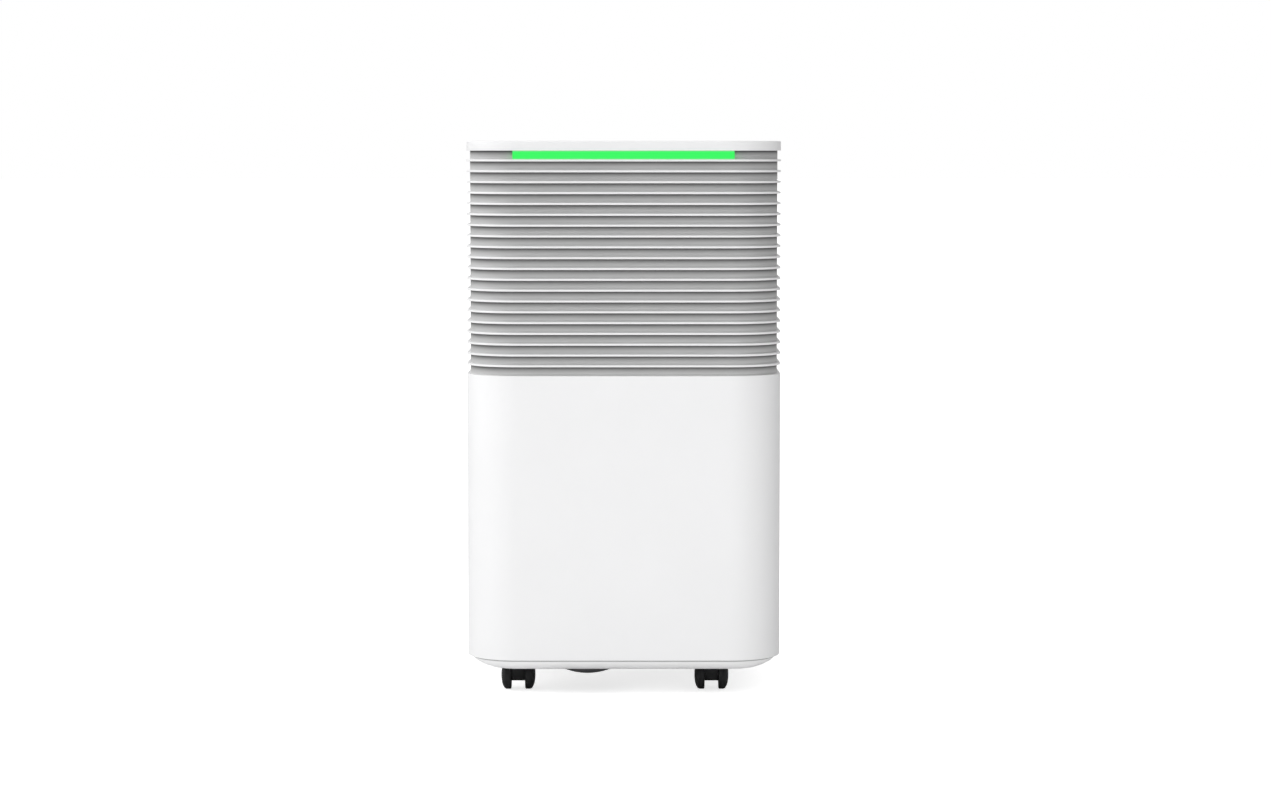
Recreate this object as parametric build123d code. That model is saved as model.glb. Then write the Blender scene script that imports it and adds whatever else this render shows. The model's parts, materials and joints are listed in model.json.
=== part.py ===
"""A portable compressor dehumidifier on four twin-wheel casters, as separate named pieces.

Millimetres, +Z up, the front faces -Y. The origin is on the floor, under the middle of the cabinet.
Each function below makes one piece, and the end of the file writes each piece to parts/NAME.step.
"""

import math
import os

from build123d import *

# --- driving dimensions -------------------------------------------------------------------------
WIDTH, DEPTH, HEIGHT = 294.0, 236.0, 518.0
FRONT_R, REAR_R = 48.0, 24.0  # cabinet corners, seen from above
WALL = 2.5
SEAM_Y = 8.0  # where the front shell meets the rear shell
GAP = 0.3  # between pieces that come apart

# --- the ribbed band ----------------------------------------------------------------------------
SHELL_BOTTOM = 35.0
RIB_PITCH, RIB_THICK, RIB_COUNT = 10.0, 1.8, 20
FIRST_RIB = 500.0  # height of the top rib's middle
PANEL_TOP = FIRST_RIB - RIB_COUNT * RIB_PITCH + RIB_THICK / 2
CAP_BOTTOM = FIRST_RIB + RIB_PITCH - RIB_THICK / 2
GROOVE_FRONT, GROOVE_SIDE = 6.0, 3.2  # how far the grooves go in
LINER_WALL = 2.0
STRIP_HALF, STRIP_PROUD = 102.3, 0.8  # light strip: half its length, and its set-back

# --- the base and its casters -------------------------------------------------------------------
BASE_BOTTOM, BASE_FLOOR, BASE_LIP_TOP = 24.5, 28.5, 47.0
BOWL = ((2.0, 35.0), (8.0, 29.8), (14.0, 26.6), (20.0, 24.5))  # (inset, height) down the base's side
CASTER_X = {"left": -100.0, "right": 83.0}
CASTER_Y = {"front": -71.0, "rear": 71.0}
WHEEL_R, WHEEL_WIDTH, WHEEL_DOME = 14.0, 9.5, 3.1
WHEEL_IN = 6.6  # inner face of a wheel from the caster's middle
TRAIL = 8.0  # axle behind the swivel's axis
STEM_R, AXLE_R, FIT = 3.5, 1.5, 0.05
POCKET_R, POCKET_TOP, STEM_TOP = 26.0, 31.0, 42.0

# --- compressor and its well --------------------------------------------------------------------
COMP_X, COMP_Y, COMP_R = -34.5, -56.0, 46.0
COMP_LOW, COMP_TOP, FOOT_CIRCLE = 20.0, 205.0, 55.0
COMP_LOW_DOME, COMP_TOP_DOME = 64.5, 150.0  # sphere radii of the can's ends
WELL_R, WELL_FLANGE_R, WELL_SPHERE, WELL_LOW = 34.0, 40.0, 61.0, 14.6
ACCUMULATOR, SUCTION_Z = (34.0, -88.0), 60.0
SUCTION_TURN = math.degrees(math.atan2(ACCUMULATOR[1] - COMP_Y, ACCUMULATOR[0] - COMP_X))

# --- water tank and its bay ---------------------------------------------------------------------
BAY_FLOOR, BAY_TOP = 49.7, 232.0
DECK_TOP = 235.0
TANK_HALF, TANK_TOP = 107.0, 220.0
TANK_Y = (6.0, 102.5)
TANK_OPEN_HALF, TANK_OPEN_Z = 112.0, (50.0, 231.8)
POUR_XY, POUR_R = (0.0, 66.0), 16.0
FLOAT_PIVOT = (50.0, 120.0)  # (Y, Z)

# --- air path -----------------------------------------------------------------------------------
INLET_HALF, INLET_Z = 104.0, (262.0, 474.0)
EVAP_Y, COND_Y, COIL_HALF, COIL_Z = (82.0, 102.0), (60.0, 78.0), 94.0, (254.5, 468.0)
TUBE_R, TUBE_PITCH = 4.0, 24.0
FAN_Z, FAN_R, FAN_HOUSING_R, FAN_HOUSING_Y = 345.0, 72.0, 88.0, (4.0, 56.0)
LOUVRE_HALF, LOUVRE_Y, LOUVRE_THICK = 92.0, (2.0, 58.0), 3.0

# --- controls, drain and power ------------------------------------------------------------------
PANEL_HALF, PANEL_Y, PANEL_LEVEL = 72.0, (-98.0, -40.0), 517.2
BUTTON_R, BUTTON_Y = 7.0, -82.0
BUTTON_X = {"power": -45.0, "mode": -15.0, "fan": 15.0, "timer": 45.0}
NIPPLE_X, NIPPLE_Z, NIPPLE_R, NIPPLE_BORE = 75.0, 244.0, 5.5, 4.0
DOOR_HALF, DOOR_Z = 13.0, (235.4, 256.0)
GLAND_X, GLAND_Z, GLAND_BORE = -60.0, 41.8, 3.6
GRIP_Y, GRIP_Z, GRIP_DEPTH = (16.0, 92.0), (430.0, 458.0), 24.0

BACK = DEPTH / 2
FRONT = -DEPTH / 2
SIDE = WIDTH / 2


# --- helpers ------------------------------------------------------------------------------------
def block(x0, x1, y0, y1, z0, z1):
    """A box between two corners."""
    return Pos((x0 + x1) / 2, (y0 + y1) / 2, (z0 + z1) / 2) * Box(x1 - x0, y1 - y0, z1 - z0)


def rod_z(x, y, z0, z1, r):
    return Pos(x, y, (z0 + z1) / 2) * Cylinder(r, z1 - z0)


def rod_y(x, y0, y1, z, r):
    return Pos(x, (y0 + y1) / 2, z) * Rot(90, 0, 0) * Cylinder(r, y1 - y0)


def rod_x(x0, x1, y, z, r):
    return Pos((x0 + x1) / 2, y, z) * Rot(0, 90, 0) * Cylinder(r, x1 - x0)


def plan(inset, z0, z1):
    """The cabinet's outline moved in by inset, as a solid from z0 to z1."""
    return Pos(0, 0, z0) * extrude(outline(inset), z1 - z0)


def outline(inset):
    face = Rectangle(WIDTH - 2 * inset, DEPTH - 2 * inset)
    face = fillet(face.vertices().filter_by(lambda v: v.Y < 0), FRONT_R - inset)
    return fillet(face.vertices().filter_by(lambda v: v.Y > DEPTH / 2 - inset - 0.01), REAR_R - inset)


def liner_outline(grow):
    """The groove floor's outline: deeper at the front than at the sides, and moved out by grow."""
    half, front = SIDE - GROOVE_SIDE + grow, FRONT + GROOVE_FRONT - grow
    face = Pos(0, (front + BACK) / 2) * Rectangle(2 * half, BACK - front)
    return fillet(face.vertices().filter_by(lambda v: v.Y < 0), FRONT_R - GROOVE_SIDE + grow)


def liner_solid(grow, z0, z1):
    return Pos(0, 0, z0) * extrude(liner_outline(grow), z1 - z0)


def ahead(y):
    """Everything in front of y."""
    return block(-WIDTH, WIDTH, -DEPTH, y, -10, HEIGHT + 10)


def behind(y):
    return block(-WIDTH, WIDTH, y, DEPTH, -10, HEIGHT + 10)


def join(pieces):
    """One solid from many that touch or overlap."""
    pieces = list(pieces)
    return pieces[0].fuse(*pieces[1:]) if len(pieces) > 1 else pieces[0]


def group(pieces):
    """Several separate solids in one node."""
    return Compound(children=[solid for piece in pieces for solid in piece.solids()])


# --- base ---------------------------------------------------------------------------------------
def caster_places():
    return [(f"{row}_{side}", x, y) for row, y in CASTER_Y.items() for side, x in CASTER_X.items()]


def foot_places():
    turns = [math.radians(a) for a in (0, 120, 240)]
    return [(COMP_X + FOOT_CIRCLE * math.cos(a), COMP_Y + FOOT_CIRCLE * math.sin(a)) for a in turns]


def base_tray():
    sections = [Pos(0, 0, z) * outline(inset) for inset, z in reversed(BOWL)]
    bowl = loft(sections, ruled=True) + plan(3.0, SHELL_BOTTOM, BASE_LIP_TOP)
    tray = bowl - plan(5.5, SHELL_BOTTOM - 1, HEIGHT) - plan(9.0, BASE_FLOOR + 2.5, HEIGHT)
    tray -= plan(16.0, BASE_FLOOR, HEIGHT)
    for x, y in foot_places():
        on_slope = y < FRONT + 20
        tray += rod_z(x, y, BASE_FLOOR + (1.5 if on_slope else -1.0), 34.0, 6.0)
        tray += rod_z(x, y, 33.0, 52.0, 2.5)
    for _, x, y in caster_places():
        tray += rod_z(x, y, BASE_BOTTOM + 2.0, POCKET_TOP + 2.5, POCKET_R + 1.6)
        tray += rod_z(x, y, POCKET_TOP, STEM_TOP, STEM_R + 3.0)
        tray -= rod_z(x, y, 0, POCKET_TOP, POCKET_R)
        tray -= rod_z(x, y, 0, HEIGHT, STEM_R + FIT)
    tray -= rod_z(COMP_X, COMP_Y, 0, 60, WELL_R)
    tray -= rod_z(COMP_X, COMP_Y, 0, BASE_BOTTOM + 2.0, WELL_FLANGE_R + GAP)
    for x, y in well_screw_places():
        tray -= rod_z(x, y, 0, BASE_FLOOR + 1, 1.2)
    return tray - block(GLAND_X - 5.6, GLAND_X + 5.6, 100, BACK, GLAND_Z - 5.4, BASE_LIP_TOP + 1)


def well_screw_places():
    return [
        (COMP_X + 37.2 * math.cos(math.radians(a)), COMP_Y + 37.2 * math.sin(math.radians(a)))
        for a in (50, 170, 290)
    ]


def compressor_well_cover():
    """A shallow round dish, with a flat flange let into the base."""
    thick = 1.6
    middle = WELL_LOW + WELL_SPHERE
    outer = Pos(COMP_X, COMP_Y, middle) * Sphere(WELL_SPHERE)
    inner = Pos(COMP_X, COMP_Y, middle) * Sphere(WELL_SPHERE - thick)
    below = block(-200, 200, -200, 200, 0, BASE_BOTTOM + thick)
    flange = rod_z(COMP_X, COMP_Y, BASE_BOTTOM, BASE_BOTTOM + thick, WELL_FLANGE_R)
    cover = (outer & below) + flange - inner
    for x, y in well_screw_places():
        cover -= rod_z(x, y, 0, 60, 1.3)
    return cover


# --- casters ------------------------------------------------------------------------------------
def caster_fork(x, y):
    """The hood between the wheels, with a stem that snaps into the base."""
    half = WHEEL_IN - 0.3
    rounds = [Pos(TRAIL, WHEEL_R) * Circle(6.2), Pos(-1.0, 25.4) * Circle(4.6), Pos(14.5, 23.4) * Circle(3.6)]
    side = make_hull(Sketch(children=rounds).edges())
    body = Pos(x - half, y, 0) * extrude(Plane.YZ * side, 2 * half)
    body += rod_z(x, y, 25.0, POCKET_TOP - 0.4, 5.2)
    body += rod_z(x, y, POCKET_TOP - 1.0, STEM_TOP + 0.5, STEM_R)
    body += Pos(x, y, STEM_TOP + 2.0) * Cone(STEM_R + 0.6, STEM_R - 1.0, 3.0)
    body -= block(x - 0.7, x + 0.7, y - 6, y + 6, STEM_TOP - 5.0, 60)
    return body - rod_x(x - 20, x + 20, y + TRAIL, WHEEL_R, AXLE_R + FIT)


def wheel_profile():
    """Half section of one wheel: radius along X, width along Y, hollow on the inner side."""
    rim, outer = WHEEL_WIDTH - WHEEL_DOME, WHEEL_WIDTH
    line = Line((AXLE_R, 0.0), (WHEEL_R - 0.6, 0.0))
    line += Line(line @ 1, (WHEEL_R, 0.6))
    line += Line(line @ 1, (WHEEL_R, rim - 1.0))
    line += ThreePointArc(line @ 1, (WHEEL_R * 0.78, outer - 0.9), (WHEEL_R * 0.36, outer))
    line += Line(line @ 1, (0.0, outer))
    line += Line(line @ 1, (0.0, outer - 1.5))
    line += Line(line @ 1, (AXLE_R, outer - 1.5))
    line += Line(line @ 1, (AXLE_R, 0.0))
    return make_face(line)


def caster_wheels(x, y):
    profile = wheel_profile()
    wheel = revolve(Plane.XY * profile, Axis.Y)
    right = Pos(x + WHEEL_IN, y + TRAIL, WHEEL_R) * Rot(0, 0, -90) * wheel
    left = Pos(x - WHEEL_IN, y + TRAIL, WHEEL_R) * Rot(0, 0, 90) * wheel
    return group([left, right])


def caster_axle(x, y):
    reach = WHEEL_IN + WHEEL_WIDTH - 1.5
    return rod_x(x - reach, x + reach, y + TRAIL, WHEEL_R, AXLE_R)


# --- cabinet ------------------------------------------------------------------------------------
def front_shell():
    """The smooth lower panel and the ribs above it, one moulding that wraps round to the seam."""
    panel = plan(0, SHELL_BOTTOM, PANEL_TOP)
    panel = fillet(panel.faces().sort_by(Axis.Z)[0].edges(), 3.5)
    panel -= plan(WALL, 0, PANEL_TOP - RIB_THICK)
    rib_hole = liner_solid(0.1, 0, HEIGHT)
    panel -= rib_hole & plan(0, PANEL_TOP - RIB_THICK - 0.01, HEIGHT)
    pieces = [panel]
    for k in range(RIB_COUNT):
        z = FIRST_RIB - k * RIB_PITCH - RIB_THICK / 2
        pieces.append(plan(0, z, z + RIB_THICK) - rib_hole)
    for side in (-1, 1):
        x = sorted((side * SIDE, side * (SIDE - GROOVE_SIDE + 0.1)))
        pieces.append(block(*x, SEAM_Y - 6, SEAM_Y, PANEL_TOP - 1, CAP_BOTTOM))
    return join([piece & ahead(SEAM_Y) for piece in pieces])


def groove_liner():
    """The grey wall behind the ribs, slotted at both sides."""
    bottom, top = PANEL_TOP - RIB_THICK - 10, CAP_BOTTOM
    liner = liner_solid(0, bottom, top) - liner_solid(-LINER_WALL, 0, HEIGHT)
    liner &= ahead(SEAM_Y)
    liner -= block(-STRIP_HALF + 3, STRIP_HALF - 3, FRONT, FRONT + 12, 502.5, 507.5)
    slots = [
        block(-SIDE, SIDE, y - 1.0, y + 1.0, PANEL_TOP + 8, FIRST_RIB - 2)
        for y in [-62 + 4.5 * i for i in range(14)]
    ]
    return liner - join(slots)


def rear_shell():
    shell = plan(0, SHELL_BOTTOM, CAP_BOTTOM)
    shell = fillet(shell.faces().sort_by(Axis.Z)[0].edges(), 3.5)
    shell = (shell - plan(WALL, 0, HEIGHT)) & behind(SEAM_Y)
    shell -= block(-INLET_HALF, INLET_HALF, 100, BACK + 1, *INLET_Z)
    shell -= block(-TANK_OPEN_HALF, TANK_OPEN_HALF, 100, BACK + 1, *TANK_OPEN_Z)
    shell -= block(NIPPLE_X - DOOR_HALF, NIPPLE_X + DOOR_HALF, 100, BACK + 1, *DOOR_Z)
    for side in (-1, 1):
        x = sorted((side * (SIDE - 5), side * (SIDE + 1)))
        shell -= block(*x, *GRIP_Y, *GRIP_Z)
    for x, z in rear_screw_places():
        shell -= rod_y(x, 100, BACK + 1, z, 1.8) + rod_y(x, BACK - 1.7, BACK + 1, z, 3.7)
    shell -= rod_y(GLAND_X, 100, BACK + 1, GLAND_Z, 5.2) + rod_y(GLAND_X, BACK - 1.2, BACK + 1, GLAND_Z, 6.2)
    shell -= hinge_pins(INLET_HALF + 2.5, BACK - 1.5, INLET_Z[0] + 1.8, 1.05)
    return shell - door_pins(0.85)


def rear_screw_places():
    low = [(side * 117.5, z) for side in (-1, 1) for z in (70.0, 216.0)]
    return low + [(side * 112.0, 504.0) for side in (-1, 1)]


def hinge_pins(reach, y, z, r):
    return rod_x(-reach, reach, y, z, r)


def door_pins(r):
    reach = DOOR_HALF + 2.0
    return rod_x(NIPPLE_X - reach, NIPPLE_X + reach, BACK - 1.25, DOOR_Z[1] - 1.3, r)


def side_grip_cups():
    """The two hand recesses, each an open cup let into the side."""
    cups = []
    for side in (-1, 1):
        face, deep, wall = SIDE - WALL, SIDE - WALL - GRIP_DEPTH, 2.0
        x_out = sorted((side * face, side * (deep - wall)))
        x_in = sorted((side * (face + 1), side * deep))
        y0, y1, z0, z1 = *GRIP_Y, *GRIP_Z
        cup = block(*x_out, y0 - wall, y1 - 0.5, z0 - wall, z1 + wall)
        cup -= block(*x_in, y0, y1 - 0.5 - wall, z0, z1)
        cups.append(cup)
    return group(cups)


def top_cover():
    cover = plan(0, CAP_BOTTOM, HEIGHT)
    cover = fillet(cover.faces().sort_by(Axis.Z)[-1].edges(), 1.2)
    cover -= plan(3.2, 0, HEIGHT - 3)
    skirt = plan(10.2, 498.0, HEIGHT - 2.9) - plan(12.2, 0, HEIGHT)
    ledge = block(-PANEL_HALF - 3, PANEL_HALF + 3, PANEL_Y[0] - 3, PANEL_Y[1] + 3, 511.7, HEIGHT - 2.9)
    cheeks = [
        block(side * (LOUVRE_HALF + 3) - 3, side * (LOUVRE_HALF + 3) + 3, LOUVRE_Y[1] - 8, LOUVRE_Y[1] + 2,
              512.5, HEIGHT - 2.9)
        for side in (-1, 1)
    ]
    bosses = [block(x - 5, x + 5, 98, BACK - WALL - 0.2, 499.0, 509.0) for x in (-112.0, 112.0)]
    bosses = [boss & plan(WALL + 0.2, 0, HEIGHT) for boss in bosses]
    cover = join([cover, skirt, ledge, *cheeks, *bosses])
    cover -= block(-PANEL_HALF, PANEL_HALF, *PANEL_Y, 514.2, HEIGHT + 1)
    cover -= block(-PANEL_HALF + 3, PANEL_HALF - 3, PANEL_Y[0] + 3, PANEL_Y[1] - 3, 500, HEIGHT)
    cover -= block(-LOUVRE_HALF, LOUVRE_HALF, *LOUVRE_Y, 500, HEIGHT + 1)
    cover -= hinge_pins(LOUVRE_HALF + 2.5, LOUVRE_Y[1] - 1.8, HEIGHT - 1.5, 1.05)
    for x in (-112.0, 112.0):
        cover -= rod_y(x, 103, BACK, 504.0, 1.5)
    return cover


def outlet_grille():
    y0, y1, z0, z1 = LOUVRE_Y[0] + 0.3, LOUVRE_Y[1] - 4.0, 500.0, 509.0
    half = LOUVRE_HALF - 3.0
    frame = block(-half, half, y0, y1, z0, z1) - block(-half + 3, half - 3, y0 + 3, y1 - 3, 0, HEIGHT)
    count = 16
    bars = [
        block(x - 0.8, x + 0.8, y0 + 2, y1 - 2, z0 + 1, z1)
        for x in [-half + 2 * half * (i + 1) / (count + 1) for i in range(count)]
    ]
    tie = block(-half + 2, half - 2, (y0 + y1) / 2 - 1, (y0 + y1) / 2 + 1, z0 + 1, z0 + 4)
    ears = [block(*sorted((s * (half - 1), s * 97)), y, y + 10, 505.0, z1) for s in (-1, 1) for y in (8, 34)]
    stalks = [block(*sorted((s * 93, s * 97)), y, y + 10, 505.0, HEIGHT - 3) for s in (-1, 1) for y in (8, 34)]
    return join([frame, tie, *bars, *ears, *stalks])


def led_strip():
    return block(-STRIP_HALF, STRIP_HALF, FRONT + STRIP_PROUD, FRONT + GROOVE_FRONT - 0.1,
                 FIRST_RIB + RIB_THICK / 2 + 0.1, CAP_BOTTOM - 0.1)


def led_board():
    y = FRONT + GROOVE_FRONT + LINER_WALL + 0.1
    board = block(-STRIP_HALF + 2, STRIP_HALF - 2, y, y + 1.4, 499.0, 508.8)
    board &= plan(6.0, 0, HEIGHT)
    lamps = [block(x - 1.5, x + 1.5, y - 1.2, y, 503.8, 506.2) for x in range(-90, 91, 15)]
    return join([board, *lamps])


# --- controls -----------------------------------------------------------------------------------
def control_panel():
    panel = block(-PANEL_HALF + 0.2, PANEL_HALF - 0.2, PANEL_Y[0] + 0.2, PANEL_Y[1] - 0.2, 514.3, PANEL_LEVEL)
    for x in BUTTON_X.values():
        panel -= rod_z(x, BUTTON_Y, 500, HEIGHT, BUTTON_R + GAP)
    return panel - block(-32, 32, -68, -48, PANEL_LEVEL - 1.2, HEIGHT)


def display_lens():
    return block(-31.8, 31.8, -67.8, -48.2, PANEL_LEVEL - 1.15, PANEL_LEVEL)


def display_board():
    board = block(-74, 74, PANEL_Y[0] - 1, PANEL_Y[1] + 1, 506.0, 507.6)
    posts = [rod_z(x, y, 507.0, 511.7, 2.0) for x in (-71.5, 71.5) for y in (-96.5, -41.5)]
    digits = block(-24, 24, -66, -50, 507.6, 513.0)
    switches = [block(x - 3, x + 3, BUTTON_Y - 3, BUTTON_Y + 3, 507.6, 510.6) for x in BUTTON_X.values()]
    return join([board, digits, *posts, *switches])


def button(x):
    """A round key with a plunger that reaches its switch, and a flange that keeps it in."""
    cap = rod_z(x, BUTTON_Y, 513.2, HEIGHT - 0.2, BUTTON_R)
    cap = fillet(cap.faces().sort_by(Axis.Z)[-1].edges(), 0.4)
    flange = rod_z(x, BUTTON_Y, 512.6, 513.6, BUTTON_R + 1.2)
    return cap + flange + rod_z(x, BUTTON_Y, 511.5, 513.0, 2.0)


def louvre_flap():
    """The lid of the air outlet: a plate whose rear edge is round, with a pin at each end."""
    half, axis_y, axis_z = LOUVRE_HALF - 0.4, LOUVRE_Y[1] - 1.8, HEIGHT - 1.5
    plate = block(-half, half, LOUVRE_Y[0] + 0.5, axis_y, HEIGHT - LOUVRE_THICK, HEIGHT)
    scoop = block(-30, 30, LOUVRE_Y[0], LOUVRE_Y[0] + 6, HEIGHT - LOUVRE_THICK - 1, HEIGHT - 1.6)
    pins = hinge_pins(LOUVRE_HALF + 2.2, axis_y, axis_z, 1.0)
    return plate + rod_x(-half, half, axis_y, axis_z, LOUVRE_THICK / 2) + pins - scoop


# --- air inlet ----------------------------------------------------------------------------------
def inlet_grille():
    half, y0, y1 = INLET_HALF - 0.4, BACK - 3.0, BACK
    z0, z1 = INLET_Z[0] + 1.8, INLET_Z[1] - 0.4
    frame = block(-half, half, y0, y1, z0, z1) - block(-half + 6, half - 6, 0, DEPTH, z0 + 6, z1 - 6)
    frame += rod_x(-half, half, BACK - 1.5, z0, 1.5)
    frame += hinge_pins(INLET_HALF + 2.2, BACK - 1.5, z0, 1.0)
    count = 22
    slats = [
        block(-half + 5, half - 5, y0 + 0.3, y1 - 0.3, z - 1.3, z + 1.3)
        for z in [z0 + 6 + (z1 - z0 - 12) * (i + 1) / (count + 1) for i in range(count)]
    ]
    posts = [block(x - 1.2, x + 1.2, y0, y1 - 1, z0 + 5, z1 - 5) for x in (-50.0, 0.0, 50.0)]
    tab = block(-16, 16, y0, y1 - 0.4, z1 - 14, z1 - 5)
    return join([frame, *slats, *posts, tab])


def filter_frame():
    half, y0, y1 = INLET_HALF - 8.0, 108.4, BACK - 3.2
    z0, z1 = INLET_Z[0] + 8.0, INLET_Z[1] - 6.0
    frame = block(-half, half, y0, y1, z0, z1) - block(-half + 5, half - 5, 0, DEPTH, z0 + 5, z1 - 5)
    bars = [block(x - 1, x + 1, y0, y1 - 2.4, z0 + 4, z1 - 4) for x in (-45.0, 0.0, 45.0)]
    bars += [block(-half + 4, half - 4, y0, y1 - 2.4, z - 1, z + 1) for z in (330.0, 400.0)]
    return join([frame, *bars])


def filter_mesh():
    half = INLET_HALF - 13.1
    return block(-half, half, BACK - 5.5, BACK - 4.7, INLET_Z[0] + 13.1, INLET_Z[1] - 11.1)


# --- water tank ---------------------------------------------------------------------------------
def tank_bay():
    """The box that the tank slides into. Its roof carries the coils and the fan."""
    deck = plan(3.2, BAY_TOP, DECK_TOP) & behind(0)
    deck -= rod_z(*POUR_XY, 200, 300, 9.0) + block(-136, -116, 20, 52, 200, 300)
    wall = block(-TANK_OPEN_HALF, TANK_OPEN_HALF, 0, 2.5, BAY_FLOOR - 2.5, BAY_TOP)
    floor = block(-TANK_OPEN_HALF, TANK_OPEN_HALF, 0, 113, BAY_FLOOR - 2.5, BAY_FLOOR)
    sides = [block(*sorted((s * 109.6, s * TANK_OPEN_HALF)), 0, 113, BAY_FLOOR, BAY_TOP) for s in (-1, 1)]
    bosses = [
        block(*sorted((s * (TANK_OPEN_HALF - 0.15), s * 122)), 101, BACK - WALL - 0.2, z - 5, z + 5)
        & plan(WALL + 0.2, 0, HEIGHT)
        for s in (-1, 1) for z in (70.0, 216.0)
    ]
    bay = join([deck, wall, floor, *sides, *bosses])
    for x, z in rear_screw_places()[:4]:
        bay -= rod_y(x, 104, BACK, z, 1.5)
    return bay - block(47, 55, -1, 3, 194, 200)


def tank_body():
    y0, y1 = TANK_Y
    wall, bottom = 2.0, BAY_FLOOR + 0.3
    outer = block(-TANK_HALF, TANK_HALF, y0, y1, bottom, TANK_TOP)
    outer = fillet(outer.edges().filter_by(Axis.Z), 12)
    inner = block(-TANK_HALF + wall, TANK_HALF - wall, y0 + wall, y1 - wall, bottom + wall, TANK_TOP + 1)
    inner = fillet(inner.edges().filter_by(Axis.Z), 10)
    inner = fillet(inner.faces().sort_by(Axis.Z)[0].edges(), 6)
    boss = block(-TANK_HALF + 1, -TANK_HALF + 6, 44, 56, 114, 126)
    return outer - inner + boss - rod_x(-TANK_HALF + 1.5, -TANK_HALF + 7, *FLOAT_PIVOT, 1.0)


def tank_lid():
    y0, y1 = TANK_Y
    lid = block(-TANK_HALF, TANK_HALF, y0, y1, TANK_TOP, TANK_TOP + 2.5)
    lip = block(-TANK_HALF + 2.3, TANK_HALF - 2.3, y0 + 2.3, y1 - 2.3, TANK_TOP - 4, TANK_TOP + 1)
    hole = block(-TANK_HALF + 4.3, TANK_HALF - 4.3, y0 + 4.3, y1 - 4.3, TANK_TOP - 5, TANK_TOP)
    lid = fillet(lid.edges().filter_by(Axis.Z), 12)
    lip = fillet(lip.edges().filter_by(Axis.Z), 9.7)
    hole = fillet(hole.edges().filter_by(Axis.Z), 7.7)
    lid = lid + (lip - hole)
    spout = block(-98, -70, y1 - 30, y1 - 8, 0, HEIGHT)
    return lid - rod_z(*POUR_XY, 0, HEIGHT, POUR_R) - spout


def tank_fascia():
    """The white rear face of the tank, with a hand recess."""
    half, y0 = TANK_OPEN_HALF - 0.5, TANK_Y[1] + 0.1
    z0, z1 = TANK_OPEN_Z[0] + GAP, TANK_OPEN_Z[1] - GAP
    side = 109.2
    plate = block(-half, half, BACK - 3, BACK, z0, z1)
    rim = block(-side, side, y0, BACK - 2, z0, z1 - 6) - block(-side + 2.5, side - 2.5, y0 - 1, BACK - 3, z0 + 2.5,
                                                             z1 - 8.5)
    cup = block(-52, 52, y0 + 0.4, BACK - 1, 183, 217) - block(-50, 50, y0 + 2.5, BACK + 1, 185, 215)
    return join([plate, rim, cup]) - block(-50, 50, y0 + 2.5, BACK + 1, 185, 215)


def float_arm():
    """A hollow float on a short arm that pivots on pins near the tank's left wall."""
    x0 = -TANK_HALF + 6.4
    body = block(x0 + 8, x0 + 38, 36, 64, 62, 84)
    body = fillet(body.edges().filter_by(Axis.Z), 6)
    body += block(x0, x0 + 4, 46, 54, 70, 124) + block(x0, x0 + 12, 46, 54, 70, 76)
    return body + rod_x(-TANK_HALF + 1.9, x0 + 2, *FLOAT_PIVOT, 0.95)


# --- cooling circuit ----------------------------------------------------------------------------
def tube_heights():
    first = COIL_Z[0] + 20
    count = int((COIL_Z[1] - first - 8) // TUBE_PITCH) + 1
    return [first + TUBE_PITCH * i for i in range(count)]


def coil_fins(y_range):
    """Thin upright plates, with holes for the tubes, and a thicker plate at each end."""
    y0, y1 = y_range
    holes = [rod_x(-1, 1, (y0 + y1) / 2, z, TUBE_R + 0.05) for z in tube_heights()]
    fin = block(-0.3, 0.3, y0, y1, *COIL_Z)
    fin -= join(holes)
    end = block(-0.8, 0.8, y0 - 1, y1 + 1, *COIL_Z)
    end -= join(holes)
    count = 46
    places = [-COIL_HALF + 2 * COIL_HALF * i / (count - 1) for i in range(count)]
    plates = [Pos(x, 0, 0) * fin for x in places[1:-1]]
    return group(plates + [Pos(places[0], 0, 0) * end, Pos(places[-1], 0, 0) * end])


def coil_tubes(y_range):
    """Straight tubes through the fins, joined by U-bends: a snake from bottom to top."""
    y = (y_range[0] + y_range[1]) / 2
    reach = COIL_HALF + 4
    pieces = []
    heights = tube_heights()
    for z in heights:
        pieces.append(rod_x(-reach, reach, y, z, TUBE_R))
    for i in range(len(heights) - 1):
        side = 1 if i % 2 == 0 else -1
        ring = Pos(side * reach, y, heights[i] + TUBE_PITCH / 2) * Rot(90, 0, 0)
        ring = ring * Torus(TUBE_PITCH / 2, TUBE_R)
        x = sorted((side * reach, side * (reach + 40)))
        pieces.append(ring & block(*x, -DEPTH, DEPTH, 0, HEIGHT))
    return join(pieces)


def drip_tray():
    y0, y1, half = 57.0, 105.0, 104.0
    tray = block(-half, half, y0, y1, DECK_TOP + 0.2, 252.0) - block(-half + 2, half - 2, y0 + 2, y1 - 2,
                                                                     DECK_TOP + 2.2, 300)
    tray += rod_z(*POUR_XY, TANK_TOP + 6.5, DECK_TOP + 1, 7.0)
    tray -= rod_z(*POUR_XY, 200, 300, 5.0)
    tray += rod_y(NIPPLE_X, y1 - 1, y1 + 10, NIPPLE_Z, NIPPLE_R)
    return tray - rod_y(NIPPLE_X, y1 - 3, y1 + 11, NIPPLE_Z, NIPPLE_BORE)


def drain_door():
    """The small door over the hose nipple: its top edge is round and carries the pins."""
    x0, x1 = NIPPLE_X - DOOR_HALF + 0.3, NIPPLE_X + DOOR_HALF - 0.3
    axis_y, axis_z = BACK - 1.25, DOOR_Z[1] - 1.3
    door = block(x0, x1, axis_y - 1, axis_y + 1, DOOR_Z[0] + 0.3, axis_z)
    door += rod_x(x0, x1, axis_y, axis_z, 1.0)
    door += rod_x(x0 - 1.9, x1 + 1.9, axis_y, axis_z, 0.8)
    return door - block(x0 + 8, x1 - 8, axis_y + 0.3, BACK, 0, DOOR_Z[0] + 3)


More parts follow.
